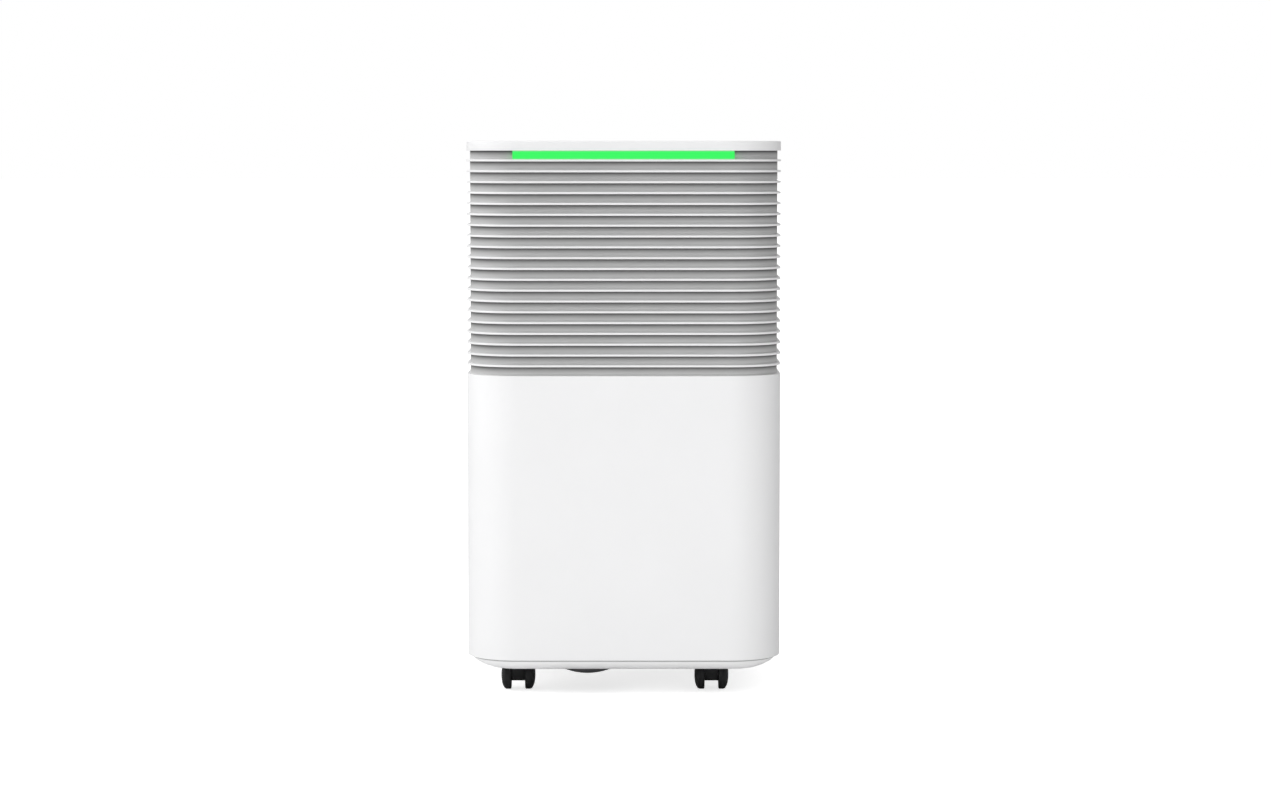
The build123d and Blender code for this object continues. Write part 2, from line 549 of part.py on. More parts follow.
def compressor():
    """A welded can with domed ends, a foot plate, a terminal cover and two pipe stubs."""
    low_dome = Pos(COMP_X, COMP_Y, COMP_LOW + COMP_LOW_DOME) * Sphere(COMP_LOW_DOME)
    top_dome = Pos(COMP_X, COMP_Y, COMP_TOP - COMP_TOP_DOME) * Sphere(COMP_TOP_DOME)
    can = rod_z(COMP_X, COMP_Y, COMP_LOW, 80, COMP_R) & low_dome
    can += rod_z(COMP_X, COMP_Y, 75, COMP_TOP, COMP_R) & top_dome
    plate = rod_z(COMP_X, COMP_Y, 44, 47, COMP_R + 3)
    for x, y in foot_places():
        turn = math.degrees(math.atan2(y - COMP_Y, x - COMP_X))
        arm = Pos((x + COMP_X) / 2, (y + COMP_Y) / 2, 45.5) * Rot(0, 0, turn) * Box(FOOT_CIRCLE, 18, 3)
        plate += rod_z(x, y, 44, 47, 8.5) + arm
    for x, y in foot_places():
        plate -= rod_z(x, y, 40, 50, 4.6)
    cap = rod_z(COMP_X - 14, COMP_Y, COMP_TOP - 8, COMP_TOP + 10, 13)
    seam = rod_z(COMP_X, COMP_Y, 172, 175, COMP_R + 1)
    outlet = rod_z(COMP_X + 22, COMP_Y, COMP_TOP - 8, COMP_TOP + 8, 5)
    inlet = Pos(COMP_X, COMP_Y, SUCTION_Z) * Rot(0, 0, SUCTION_TURN) * rod_x(30, COMP_R + 5, 0, 0, 5)
    return join([can, plate, cap, seam, outlet, inlet])


def compressor_grommets():
    """Three rubber grommets, each waisted where the foot plate sits."""
    rings = []
    for x, y in foot_places():
        ring = rod_z(x, y, 34.0, 44.0, 6.5) + rod_z(x, y, 43.9, 47.1, 4.5) + rod_z(x, y, 47.0, 50.0, 6.0)
        rings.append(ring - rod_z(x, y, 30, 60, 2.6))
    return group(rings)


def accumulator():
    """The bottle beside the compressor, with the short pipe that joins them."""
    x, y = ACCUMULATOR
    can = rod_z(x, y, 72, 160, 14)
    can = fillet(can.edges().filter_by(GeomType.CIRCLE), 6)
    turn = math.radians(SUCTION_TURN)
    end = (COMP_X + (COMP_R + 5) * math.cos(turn), COMP_Y + (COMP_R + 5) * math.sin(turn), SUCTION_Z)
    return join([can, rod_z(x, y, 158, 176, 4), pipe([(x, y, 75), (x, y, SUCTION_Z), end], [8])])


def pipe(points, radii, r=4.0):
    """A round tube along straight runs joined by arcs."""
    path = FilletPolyline(*points, radius=radii)
    return sweep(Plane(origin=path @ 0, z_dir=path % 0) * Circle(r), path=path)


def suction_pipe():
    """From the evaporator's low end, through the deck, down to the accumulator."""
    z, y, x = tube_heights()[0], sum(EVAP_Y) / 2, -124.0
    start = (-COIL_HALF - 4.2, y, z)
    low = 226.0
    over = (*ACCUMULATOR, low)
    return pipe([start, (x, y, z), (x, 36, z), (x, 36, low), (x, -20, low), over, (*ACCUMULATOR, 176.0)],
                [10, 14, 14, 14, 14])


def discharge_pipe():
    """From the top of the compressor up to the condenser's high end."""
    z, y, x = tube_heights()[-1], sum(COND_Y) / 2, -108.0
    start = (COMP_X + 22, COMP_Y, COMP_TOP + 8)
    low = 240.0
    return pipe([start, (start[0], start[1], low), (x, -20, low), (x, -20, z), (x, y, z), (-COIL_HALF - 4.2, y, z)],
                [12, 14, 9, 5])


def capillary_and_drier():
    """The drier at the condenser's low end, and the thin tube from it to the evaporator's high end."""
    low, high, x = tube_heights()[0], tube_heights()[-1], -108.0
    y_cond, y_evap = sum(COND_Y) / 2, sum(EVAP_Y) / 2
    inlet = pipe([(-COIL_HALF - 4.2, y_cond, low), (x, y_cond, low), (x, 52, low)], [5])
    drier = rod_y(x, 12, 52, low, 8.5)
    drier = fillet(drier.edges().filter_by(GeomType.CIRCLE), 4)
    corners = [(x + 12, -7), (x + 12, 5), (x, 5), (x, -7)]
    points = [(x, 12, low), (x, -7, low), (x, -7, 300)]
    points += [(*corners[i % 4], 301.0 + i) for i in range(18)]
    points += [(x + 12, 5, 478), (x + 12, y_evap, 478), (x, y_evap, 478), (x, y_evap, high),
               (-COIL_HALF - 7, y_evap, high)]
    tube = pipe(points, [3] * (len(points) - 2), r=1.2)
    reducer = rod_x(-COIL_HALF - 7, -COIL_HALF - 4.2, y_evap, high, 3.6)
    return group([inlet, drier, tube, reducer])


def fan_housing():
    """The fan's casing: round below, a straight chute above, open at the top."""
    y0, y1 = FAN_HOUSING_Y
    top = 499.8

    def body(inset):
        round_part = rod_y(0, y0 + inset, y1 - inset, FAN_Z, FAN_HOUSING_R - inset)
        chute = block(-FAN_HOUSING_R + inset, FAN_HOUSING_R - inset, y0 + inset, y1 - inset, FAN_Z, top)
        return round_part + chute

    housing = body(0) - body(2.0) - block(-FAN_HOUSING_R + 2, FAN_HOUSING_R - 2, y0 + 2, y1 - 2, FAN_Z, HEIGHT)
    housing -= rod_y(0, y1 - 3, y1 + 1, FAN_Z, 58.0)
    housing -= rod_y(0, y0 - 1, y0 + 3, FAN_Z, 14.0)
    feet = [block(*sorted((s * 40, s * 70)), y0, y1, DECK_TOP, FAN_Z - 50) for s in (-1, 1)]
    feet = [foot - rod_y(0, y0 - 1, y1 + 1, FAN_Z, FAN_HOUSING_R - 1) for foot in feet]
    return join([housing, *feet])


def fan_motor():
    body = rod_y(0, -44, FAN_HOUSING_Y[0], FAN_Z, 38)
    body = fillet(body.faces().sort_by(Axis.Y)[0].edges(), 5)
    collar = rod_y(0, FAN_HOUSING_Y[0] - 1, FAN_HOUSING_Y[0] + 4, FAN_Z, 12)
    ears = [block(x - 7, x + 7, FAN_HOUSING_Y[0] - 4, FAN_HOUSING_Y[0], FAN_Z - 7, FAN_Z + 7) for x in (-42, 42)]
    return join([body, collar, *ears]) - rod_y(0, -30, 20, FAN_Z, 4.05)


def fan_impeller():
    """A drum of curved blades on a back plate, with the motor's shaft in its hub."""
    y0, y1 = FAN_HOUSING_Y[0] + 7, FAN_HOUSING_Y[1] - 7
    plate = rod_y(0, y0, y0 + 2, FAN_Z, FAN_R)
    hub = rod_y(0, y0, y0 + 14, FAN_Z, 12)
    shaft = rod_y(0, -28, y0 + 15, FAN_Z, 4.0)
    ring = rod_y(0, y1 - 2, y1, FAN_Z, FAN_R) - rod_y(0, y1 - 3, y1 + 1, FAN_Z, FAN_R - 12)
    arc = ThreePointArc((0, 0), (6.4, 2.2), (11.5, 0))
    blade = Plane.XZ * make_face(arc + Polyline(arc @ 1, (11.5, -1.2)) + ThreePointArc((11.5, -1.2), (6.4, 1.0),
                                                                                       (0, -1.2))
                                 + Line((0, -1.2), (0, 0)))
    blade = extrude(blade, -(y1 - y0 - 2))
    count = 30
    blades = [
        Pos(0, y0 + 1, FAN_Z) * Rot(0, 360 * i / count, 0) * Pos(FAN_R - 11.8, 0, 0) * Rot(0, 20, 0) * blade
        for i in range(count)
    ]
    return join([plate, hub, shaft, ring, *blades])


# --- electrics ----------------------------------------------------------------------------------
ELECTRONICS = (54.0, 132.0, -86.0, -22.0, 70.0, 210.0)


def electronics_box():
    x0, x1, y0, y1, z0, z1 = ELECTRONICS
    box = block(*ELECTRONICS) - block(x0 + 2, x1 - 2, y0 - 1, y1 - 2, z0 + 2, z1 - 2)
    feet = [block(x, x + 8, y1 - 6, y1, BASE_FLOOR, z0) for x in (x0 + 4, x1 - 12)]
    return join([box, *feet])


def main_board():
    x0, x1, _, y1, z0, z1 = ELECTRONICS
    face = y1 - 10
    board = block(x0 + 4, x1 - 4, face, face + 1.6, z0 + 5, z1 - 5)
    posts = [block(x - 3, x + 3, face + 1.6, y1 - 2, z - 3, z + 3) for x in (x0 + 10, x1 - 10)
             for z in (z0 + 12, z1 - 12)]
    relays = [block(x, x + 15, face - 15, face, 160, 180) for x in (66.0, 88.0, 108.0)]
    coil = block(66, 94, face - 24, face, 120, 146)
    cans = [rod_y(x, face - 22, face, 100, 7) for x in (72.0, 92.0)]
    return join([board, *posts, *relays, coil, *cans])


def run_capacitor():
    can = rod_z(116, -52, 92, 142, 13)
    return fillet(can.edges().filter_by(GeomType.CIRCLE), 2)


def tank_switch():
    """The switch that feels the tank, on the bay's front wall."""
    body = block(40, 62, -10, 0, 190, 204)
    lever = block(44, 58, 2.5, 4.5, 194, 200) + block(48, 54, 0, 3, 195, 199)
    return body + lever


def cord_gland():
    gland = rod_y(GLAND_X, 104, BACK, GLAND_Z, 5.0) + rod_y(GLAND_X, BACK - 1.1, BACK, GLAND_Z, 6.0)
    return gland - rod_y(GLAND_X, 100, BACK + 1, GLAND_Z, GLAND_BORE)


def case_screws():
    """Six screws in the rear shell and three under the well cover."""
    screws = []
    for x, z in rear_screw_places():
        head = rod_y(x, BACK - 1.65, BACK - 0.1, z, 3.4) - block(x - 2.4, x + 2.4, BACK - 0.8, BACK, z - 0.5, z + 0.5)
        head -= block(x - 0.5, x + 0.5, BACK - 0.8, BACK, z - 2.4, z + 2.4)
        screws.append(head + rod_y(x, 105, BACK - 1.6, z, 1.45))
    for x, y in well_screw_places():
        head = rod_z(x, y, BASE_BOTTOM - 1.3, BASE_BOTTOM, 2.4)
        head -= block(x - 1.8, x + 1.8, y - 0.4, y + 0.4, BASE_BOTTOM - 1.4, BASE_BOTTOM - 0.7)
        screws.append(head + rod_z(x, y, BASE_BOTTOM, BASE_FLOOR + 0.4, 1.15))
    return group(screws)


# --- all pieces ---------------------------------------------------------------------------------
def all_pieces():
    pieces = {
        "base_tray": base_tray(),
        "compressor_well_cover": compressor_well_cover(),
        "front_shell": front_shell(),
        "groove_liner": groove_liner(),
        "rear_shell": rear_shell(),
        "side_grip_cups": side_grip_cups(),
        "top_cover": top_cover(),
        "outlet_grille": outlet_grille(),
        "led_strip": led_strip(),
        "led_board": led_board(),
        "control_panel": control_panel(),
        "display_lens": display_lens(),
        "display_board": display_board(),
        "louvre_flap": louvre_flap(),
        "inlet_grille": inlet_grille(),
        "filter_frame": filter_frame(),
        "filter_mesh": filter_mesh(),
        "tank_bay": tank_bay(),
        "tank_body": tank_body(),
        "tank_lid": tank_lid(),
        "tank_fascia": tank_fascia(),
        "float_arm": float_arm(),
        "evaporator_fins": coil_fins(EVAP_Y),
        "evaporator_tubes": coil_tubes(EVAP_Y),
        "condenser_fins": coil_fins(COND_Y),
        "condenser_tubes": coil_tubes(COND_Y),
        "drip_tray": drip_tray(),
        "drain_door": drain_door(),
        "compressor": compressor(),
        "compressor_grommets": compressor_grommets(),
        "accumulator": accumulator(),
        "capillary_and_drier": capillary_and_drier(),
        "suction_pipe": suction_pipe(),
        "discharge_pipe": discharge_pipe(),
        "fan_housing": fan_housing(),
        "fan_motor": fan_motor(),
        "fan_impeller": fan_impeller(),
        "electronics_box": electronics_box(),
        "main_board": main_board(),
        "run_capacitor": run_capacitor(),
        "tank_switch": tank_switch(),
        "cord_gland": cord_gland(),
        "case_screws": case_screws(),
    }
    for name, x in BUTTON_X.items():
        pieces[f"button_{name}"] = button(x)
    for place, x, y in caster_places():
        pieces[f"caster_fork_{place}"] = caster_fork(x, y)
        pieces[f"caster_wheels_{place}"] = caster_wheels(x, y)
        pieces[f"caster_axle_{place}"] = caster_axle(x, y)
    return pieces


os.makedirs("parts", exist_ok=True)
for node, shape in all_pieces().items():
    export_step(shape, f"parts/{node}.step")
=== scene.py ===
"""The looks of a portable dehumidifier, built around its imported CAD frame.

Metres, +Z up, front towards -Y.
"""

import json
import math

import bmesh
import bpy
from mathutils import Matrix, Vector


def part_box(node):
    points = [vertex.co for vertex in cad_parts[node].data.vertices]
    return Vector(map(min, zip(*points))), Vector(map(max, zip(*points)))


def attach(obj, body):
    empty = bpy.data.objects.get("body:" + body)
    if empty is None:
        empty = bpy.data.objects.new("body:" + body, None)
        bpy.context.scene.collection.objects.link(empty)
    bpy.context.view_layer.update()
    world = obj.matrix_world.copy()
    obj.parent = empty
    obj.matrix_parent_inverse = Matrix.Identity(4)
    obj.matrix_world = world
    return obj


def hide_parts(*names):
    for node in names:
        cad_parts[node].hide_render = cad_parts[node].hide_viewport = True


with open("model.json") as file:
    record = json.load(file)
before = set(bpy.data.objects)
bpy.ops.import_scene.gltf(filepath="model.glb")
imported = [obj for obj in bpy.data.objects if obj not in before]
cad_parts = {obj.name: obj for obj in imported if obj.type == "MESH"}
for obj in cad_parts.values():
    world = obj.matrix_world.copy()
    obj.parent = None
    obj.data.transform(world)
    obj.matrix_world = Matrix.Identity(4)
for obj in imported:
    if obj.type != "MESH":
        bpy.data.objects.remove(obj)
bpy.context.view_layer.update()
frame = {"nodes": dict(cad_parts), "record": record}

MM = 0.001

# --- sizes of this cabinet, read from the frame or in its own millimetres -----------------------
CAP_LOW, CAP_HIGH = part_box("top_cover")
SHELL_LOW, SHELL_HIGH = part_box("front_shell")
LINER_LOW, LINER_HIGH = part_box("groove_liner")
STRIP_LOW, STRIP_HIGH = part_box("led_strip")
HALF_WIDTH, FRONT, BACK = CAP_HIGH.x, CAP_LOW.y, CAP_HIGH.y
SEAM = SHELL_HIGH.y
SHELL_BOTTOM = SHELL_LOW.z
CAP_BOTTOM = SHELL_HIGH.z
FRONT_R = 48 * MM
RIB_PITCH, RIB_THICK, RIB_COUNT = 10 * MM, 1.8 * MM, 20
RIB_DEPTH = 6.4 * MM
FIRST_RIB = CAP_BOTTOM - RIB_PITCH + RIB_THICK / 2
PANEL_TOP = FIRST_RIB - RIB_COUNT * RIB_PITCH + RIB_THICK / 2
LINER_HALF, LINER_FRONT = LINER_HIGH.x, LINER_LOW.y
LINER_R = FRONT_R - (HALF_WIDTH - LINER_HALF)
SLOT_PITCH, SLOT_COUNT, SLOT_FIRST = 4.5 * MM, 14, -62 * MM


# --- node helpers -------------------------------------------------------------------------------
def add(tree, kind, inputs=None, **settings):
    """A node with its settings, each input either linked from a socket or given a value."""
    node = tree.nodes.new(kind)
    for key, value in settings.items():
        setattr(node, key, value)
    for key, source in (inputs or {}).items():
        if isinstance(source, bpy.types.NodeSocket):
            tree.links.new(source, node.inputs[key])
        else:
            node.inputs[key].default_value = source
    return node


def maths(tree, operation, *values):
    """The result of a Math node."""
    return add(tree, "ShaderNodeMath", dict(enumerate(values)), operation=operation).outputs[0]


def whole(tree, operation, value, other):
    """Whether two whole numbers compare as the operation says."""
    return add(tree, "FunctionNodeCompare", {2: value, 3: other}, data_type="INT",
               operation=operation).outputs[0]


def either(tree, switch, when_false, when_true):
    """One of two numbers, picked by a switch."""
    return add(tree, "GeometryNodeSwitch", {"Switch": switch, "False": when_false, "True": when_true},
               input_type="FLOAT").outputs[0]


def ranged(tree, value, start, stop, low, high, **settings):
    """A value moved from the span start to stop onto the span low to high."""
    return add(tree, "ShaderNodeMapRange", {"Value": value, "From Min": start, "From Max": stop,
                                            "To Min": low, "To Max": high}, **settings).outputs[0]


def noise(tree, where, scale, detail, rough=0.5):
    """A cloudy pattern."""
    return add(tree, "ShaderNodeTexNoise", {"Vector": where, "Scale": scale, "Detail": detail,
                                            "Roughness": rough}).outputs["Fac"]


def height_of(tree, where):
    """The Z of a place."""
    return add(tree, "ShaderNodeSeparateXYZ", {"Vector": where}).outputs["Z"]


def grower(name, sockets):
    """An empty Geometry Nodes tree with a base shape, named sizes and a material to put on the result."""
    tree = bpy.data.node_groups.new(name, "GeometryNodeTree")
    tree.interface.new_socket("Base", in_out="INPUT", socket_type="NodeSocketGeometry")
    for label, kind in {**sockets, "Finish": "Material"}.items():
        tree.interface.new_socket(label, in_out="INPUT", socket_type="NodeSocket" + kind)
    tree.interface.new_socket("Result", in_out="OUTPUT", socket_type="NodeSocketGeometry")
    return tree, tree.nodes.new("NodeGroupInput").outputs


def close(tree, sizes, geometry):
    """Ends a tree with Realize Instances and Set Material."""
    real = add(tree, "GeometryNodeRealizeInstances", {"Geometry": geometry})
    painted = add(tree, "GeometryNodeSetMaterial", {"Geometry": real.outputs[0], "Material": sizes["Finish"]})
    out = tree.nodes.new("NodeGroupOutput")
    tree.links.new(painted.outputs[0], out.inputs[0])
    return tree


def round_wall_tree():
    """A wall that runs from the seam round both front corners and back to the seam."""
    names = ("Half width", "Front", "Seam", "Corner radius")
    tree, sizes = grower("wall round the front", {**{n: "Float" for n in names}, "Corner steps": "Int"})
    line = add(tree, "GeometryNodeMeshLine", {"Count": 4, "Offset": (0, 0, 0)})
    index = add(tree, "GeometryNodeInputIndex").outputs[0]
    at_seam = add(tree, "FunctionNodeBooleanMath", {0: whole(tree, "EQUAL", index, 0),
                                                    1: whole(tree, "EQUAL", index, 3)}, operation="OR")
    minus = maths(tree, "MULTIPLY", sizes["Half width"], -1.0)
    x = either(tree, whole(tree, "GREATER_THAN", index, 1), minus, sizes["Half width"])
    y = either(tree, at_seam.outputs[0], sizes["Front"], sizes["Seam"])
    place = add(tree, "ShaderNodeCombineXYZ", {"X": x, "Y": y})
    placed = add(tree, "GeometryNodeSetPosition", {"Geometry": line.outputs[0],
                                                   "Position": place.outputs[0]})
    curve = add(tree, "GeometryNodeMeshToCurve", {"Mesh": placed.outputs[0]})
    path = add(tree, "GeometryNodeFilletCurve", {"Curve": curve.outputs[0], "Radius": sizes["Corner radius"],
                                                 "Count": sizes["Corner steps"]}, mode="POLY")
    level = add(tree, "GeometryNodeSetCurveNormal", {"Curve": path.outputs[0]}, mode="Z_UP")
    outline = add(tree, "GeometryNodeMeshToCurve", {"Mesh": sizes["Base"]})
    wall = add(tree, "GeometryNodeCurveToMesh", {"Curve": level.outputs[0], "Fill Caps": True,
                                                 "Profile Curve": outline.outputs[0]})
    return close(tree, sizes, wall.outputs[0])


def row_tree():
    """The base shape repeated along a straight line."""
    tree, sizes = grower("row", {"Count": "Int", "Step": "Vector"})
    line = add(tree, "GeometryNodeMeshLine", {"Count": sizes["Count"], "Offset": sizes["Step"]})
    copies = add(tree, "GeometryNodeInstanceOnPoints", {"Points": line.outputs[0],
                                                        "Instance": sizes["Base"]})
    return close(tree, sizes, copies.outputs[0])


def wheel_tree():
    """The base shape repeated round a centre, each copy turned on from the last about each axis."""
    tree, sizes = grower("round a centre", {"Count": "Int", "Turn": "Vector", "Centre": "Vector"})
    line = add(tree, "GeometryNodeMeshLine", {"Count": sizes["Count"], "Offset": (0, 0, 0)})
    index = add(tree, "GeometryNodeInputIndex")
    turn = add(tree, "ShaderNodeVectorMath", {0: sizes["Turn"], "Scale": index.outputs[0]},
               operation="SCALE")
    copies = add(tree, "GeometryNodeInstanceOnPoints", {"Points": line.outputs[0],
                                                        "Instance": sizes["Base"],
                                                        "Rotation": turn.outputs[0]})
    moved = add(tree, "GeometryNodeTransform", {"Geometry": copies.outputs[0],
                                                "Translation": sizes["Centre"]})
    return close(tree, sizes, moved.outputs[0])


def screw_tree():
    """A domed screw head with a cross recess at each point of the base."""
    names = ("Head radius", "Head height", "Slot width")
    tree, sizes = grower("screws", {**{n: "Float" for n in names}, "Tilt": "Vector"})
    head = add(tree, "GeometryNodeMeshUVSphere", {"Segments": 24, "Rings": 12,
                                                  "Radius": sizes["Head radius"]})
    flat = maths(tree, "DIVIDE", sizes["Head height"], sizes["Head radius"])
    scale = add(tree, "ShaderNodeCombineXYZ", {"X": 1.0, "Y": 1.0, "Z": flat})
    dome = add(tree, "GeometryNodeTransform", {"Geometry": head.outputs[0], "Scale": scale.outputs[0]})
    length = maths(tree, "MULTIPLY", sizes["Head radius"], 1.3)
    cut = add(tree, "GeometryNodeMeshBoolean", {"Mesh 1": dome.outputs[0]}, operation="DIFFERENCE",
              solver="EXACT")
    lift = add(tree, "ShaderNodeCombineXYZ", {"Z": sizes["Head height"]})
    for x, y in ((length, sizes["Slot width"]), (sizes["Slot width"], length)):
        size = add(tree, "ShaderNodeCombineXYZ", {"X": x, "Y": y, "Z": sizes["Head height"]})
        slot = add(tree, "GeometryNodeMeshCube", {"Size": size.outputs[0]})
        lifted = add(tree, "GeometryNodeTransform", {"Geometry": slot.outputs[0],
                                                     "Translation": lift.outputs[0]})
        tree.links.new(lifted.outputs[0], cut.inputs["Mesh 2"])
    copies = add(tree, "GeometryNodeInstanceOnPoints", {"Points": sizes["Base"], "Instance": cut.outputs[0],
                                                        "Rotation": sizes["Tilt"]})
    return close(tree, sizes, copies.outputs[0])


def grow(tree, base, finish, **values):
    """Runs a tree on a base mesh and returns the plain mesh that comes out."""
    holder = put("holder", base)
    modifier = holder.modifiers.new("grow", "NODES")
    modifier.node_group = tree
    given = {"Finish": finish, **{k.replace("_", " "): v for k, v in values.items()}}
    for item in tree.interface.items_tree:
        if item.in_out == "INPUT" and item.name in given:
            modifier[item.identifier] = given.pop(item.name)
    assert not given, f"no socket named {list(given)}"
    return finished(holder)


# --- mesh helpers -------------------------------------------------------------------------------
WELD = 0.002 * MM  # how near two corners are to be one
FLAT, CORNER, CREASE = math.radians(1), math.radians(35), math.radians(32)


def put(name, data):
    """A new object in the scene."""
    obj = bpy.data.objects.new(name, data)
    bpy.context.scene.collection.objects.link(obj)
    return obj


def finished(holder):
    """The plain mesh that an object's modifiers give, in place of the object."""
    graph = bpy.context.evaluated_depsgraph_get()
    mesh = bpy.data.meshes.new_from_object(holder.evaluated_get(graph))
    bpy.data.objects.remove(holder)
    return mesh


def mesh_from(points, edges=(), faces=()):
    mesh = bpy.data.meshes.new("shape")
    mesh.from_pydata([tuple(p) for p in points], list(edges), list(faces))
    return mesh


def rounded(corners, steps=5):
    """The outline through corners given as (x, y, radius), each drawn as an arc."""
    points = []
    for i, (x, y, radius) in enumerate(corners):
        corner = Vector((x, y))
        if radius == 0:
            points.append(corner)
            continue
        before = (Vector(corners[i - 1][:2]) - corner).normalized()
        after = (Vector(corners[(i + 1) % len(corners)][:2]) - corner).normalized()
        half = before.angle(after) / 2
        centre = corner + (before + after).normalized() * (radius / math.sin(half))
        first = corner + before * (radius / math.tan(half)) - centre
        last = corner + after * (radius / math.tan(half)) - centre
        start = math.atan2(first.y, first.x)
        sweep = (math.atan2(last.y, last.x) - start + math.pi) % (2 * math.pi) - math.pi
        for k in range(steps + 1):
            angle = start + sweep * k / steps
            points.append(centre + radius * Vector((math.cos(angle), math.sin(angle))))
    return points


def profile(corners, steps=5):
    """A cross-section for a sweep, from corners given as (outwards, up, radius)."""
    points = rounded(corners, steps)
    area = sum(a.x * b.y - b.x * a.y for a, b in zip(points, points[1:] + points[:1]))
    if area > 0:
        points.reverse()
    count = len(points)
    return mesh_from([(p.x, -p.y, 0) for p in points], edges=[(i, (i + 1) % count) for i in range(count)])


def bar(low, high, radius=0.3 * MM, steps=2):
    """A box mesh with rounded edges."""
    shape = bmesh.new()
    bmesh.ops.create_cube(shape, size=1.0)
    low, high = Vector(low), Vector(high)
    size = high - low
    bmesh.ops.transform(shape, matrix=Matrix.Translation((low + high) / 2) @ Matrix.Diagonal((*size, 1)),
                        verts=shape.verts)
    if radius:
        bmesh.ops.bevel(shape, geom=shape.edges[:], offset=radius, segments=steps, affect="EDGES",
                        profile=0.5)
    return to_mesh(shape)


def to_mesh(shape):
    mesh = bpy.data.meshes.new("shape")
    shape.to_mesh(mesh)
    shape.free()
    return mesh


def spun(points, centre, axis="Z", steps=64):
    """A closed turned shape from (radius, along) points, about an axis through centre."""
    shape = bmesh.new()
    rings = []
    for radius, along in points:
        if radius < 1e-7:
            rings.append([shape.verts.new((0, 0, along))])
        else:
            rings.append([shape.verts.new((radius * math.cos(2 * math.pi * k / steps),
                                           radius * math.sin(2 * math.pi * k / steps), along))
                          for k in range(steps)])
    pairs = list(zip(rings, rings[1:]))
    if len(rings[0]) > 1 and len(rings[-1]) > 1:
        pairs.append((rings[-1], rings[0]))
    for low, high in pairs:
        for k in range(steps):
            n = (k + 1) % steps
            if len(low) == 1:
                shape.faces.new((low[0], high[n], high[k]))
            elif len(high) == 1:
                shape.faces.new((low[k], low[n], high[0]))
            else:
                shape.faces.new((low[k], low[n], high[n], high[k]))
    bmesh.ops.recalc_face_normals(shape, faces=shape.faces)
    turn = {"X": Matrix.Rotation(math.pi / 2, 4, "Y"), "Y": Matrix.Rotation(-math.pi / 2, 4, "X"),
            "Z": Matrix.Identity(4)}[axis]
    bmesh.ops.transform(shape, matrix=Matrix.Translation(centre) @ turn, verts=shape.verts)
    return to_mesh(shape)


def merged(meshes):
    """One mesh from many."""
    shape = bmesh.new()
    for mesh in meshes:
        shape.from_mesh(mesh)
    return to_mesh(shape)


def soften(mesh):
    """Shades a mesh smooth, with a crisp line wherever two faces meet at a crease."""
    shape = bmesh.new()
    shape.from_mesh(mesh)
    for face in shape.faces:
        face.smooth = True
    for edge in shape.edges:
        edge.smooth = edge.is_manifold and edge.calc_face_angle(0) < CREASE
    shape.to_mesh(mesh)
    shape.free()


def wear(mesh, finish):
    """Puts one finish all over a mesh."""
    mesh.materials.clear()
    mesh.materials.append(finish)
    for face in mesh.polygons:
        face.material_index = 0


def piece(name, mesh, slot, *stands_for, body="cabinet", finish=None):
    """A visual piece on its CAD body, in the finish of its material slot unless another is given."""
    soften(mesh)
    wear(mesh, finish or FINISHES[slot])
    obj = put(name, mesh)
    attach(obj, body)
    if stands_for:
        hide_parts(*stands_for)


def eased(node, width, segments):
    """A merged copy of a CAD node with its sharp edges rounded off."""
    shape = bmesh.new()
    shape.from_mesh(frame["nodes"][node].data)
    bmesh.ops.remove_doubles(shape, verts=shape.verts, dist=WELD)
    bmesh.ops.dissolve_limit(shape, angle_limit=FLAT, verts=shape.verts, edges=shape.edges)
    holder = put("holder", to_mesh(shape))
    rounding = holder.modifiers.new("edges", "BEVEL")
    rounding.width, rounding.segments = width, segments
    rounding.limit_method, rounding.angle_limit = "ANGLE", CORNER
    rounding.use_clamp_overlap = True
    return finished(holder)


def eased_piece(name, node, width, segments=2, body="cabinet", slot=None):
    """A CAD node as a piece, with its edges rounded by so many millimetres."""
    piece(name, eased(node, width * MM, segments), slot or NODE_SLOT[node], node, body=body)


# --- finishes -----------------------------------------------------------------------------------
def shade(level):
    return (level, level, level, 1.0)


def finish_base(name, color, rough, **sockets):
    """A material with its shader, and the object's own coordinates."""
    material = bpy.data.materials.new(name)
    material.use_nodes = True
    tree = material.node_tree
    shader = tree.nodes["Principled BSDF"]
    shader.inputs["Base Color"].default_value = (*color, 1.0)
    shader.inputs["Roughness"].default_value = rough
    for key, value in sockets.items():
        shader.inputs[key.replace("_", " ")].default_value = value
    where = add(tree, "ShaderNodeTexCoord").outputs["Object"]
    return material, tree, shader, where


def varied(tree, shader, where, color, spread, scale):
    """Lets the base colour drift a little over the surface."""
    cloud = noise(tree, where, scale, 3.0, 0.55)
    ramp = add(tree, "ShaderNodeValToRGB", {"Fac": cloud})
    for stop, position, change in zip(ramp.color_ramp.elements, (0.3, 0.7), (1 - spread, 1 + spread)):
        stop.position = position
        stop.color = (*[min(c * change, 1.0) for c in color], 1)
    tree.links.new(ramp.outputs["Color"], shader.inputs["Base Color"])
    return cloud


def bumped(tree, shader, pattern, strength, depth):
    """Bump that follows a pattern."""
    bump = add(tree, "ShaderNodeBump", {"Height": pattern, "Strength": strength, "Distance": depth})
    tree.links.new(bump.outputs["Normal"], shader.inputs["Normal"])


def grained(tree, shader, where, scale, depth, strength=0.35):
    """Fine moulded grain, as bump."""
    bumped(tree, shader, noise(tree, where, scale, 2.0, 0.6), strength, depth)


def roughened(tree, shader, source, low, high):
    """Roughness that follows a pattern between two levels."""
    tree.links.new(ranged(tree, source, 0.3, 0.7, low, high), shader.inputs["Roughness"])


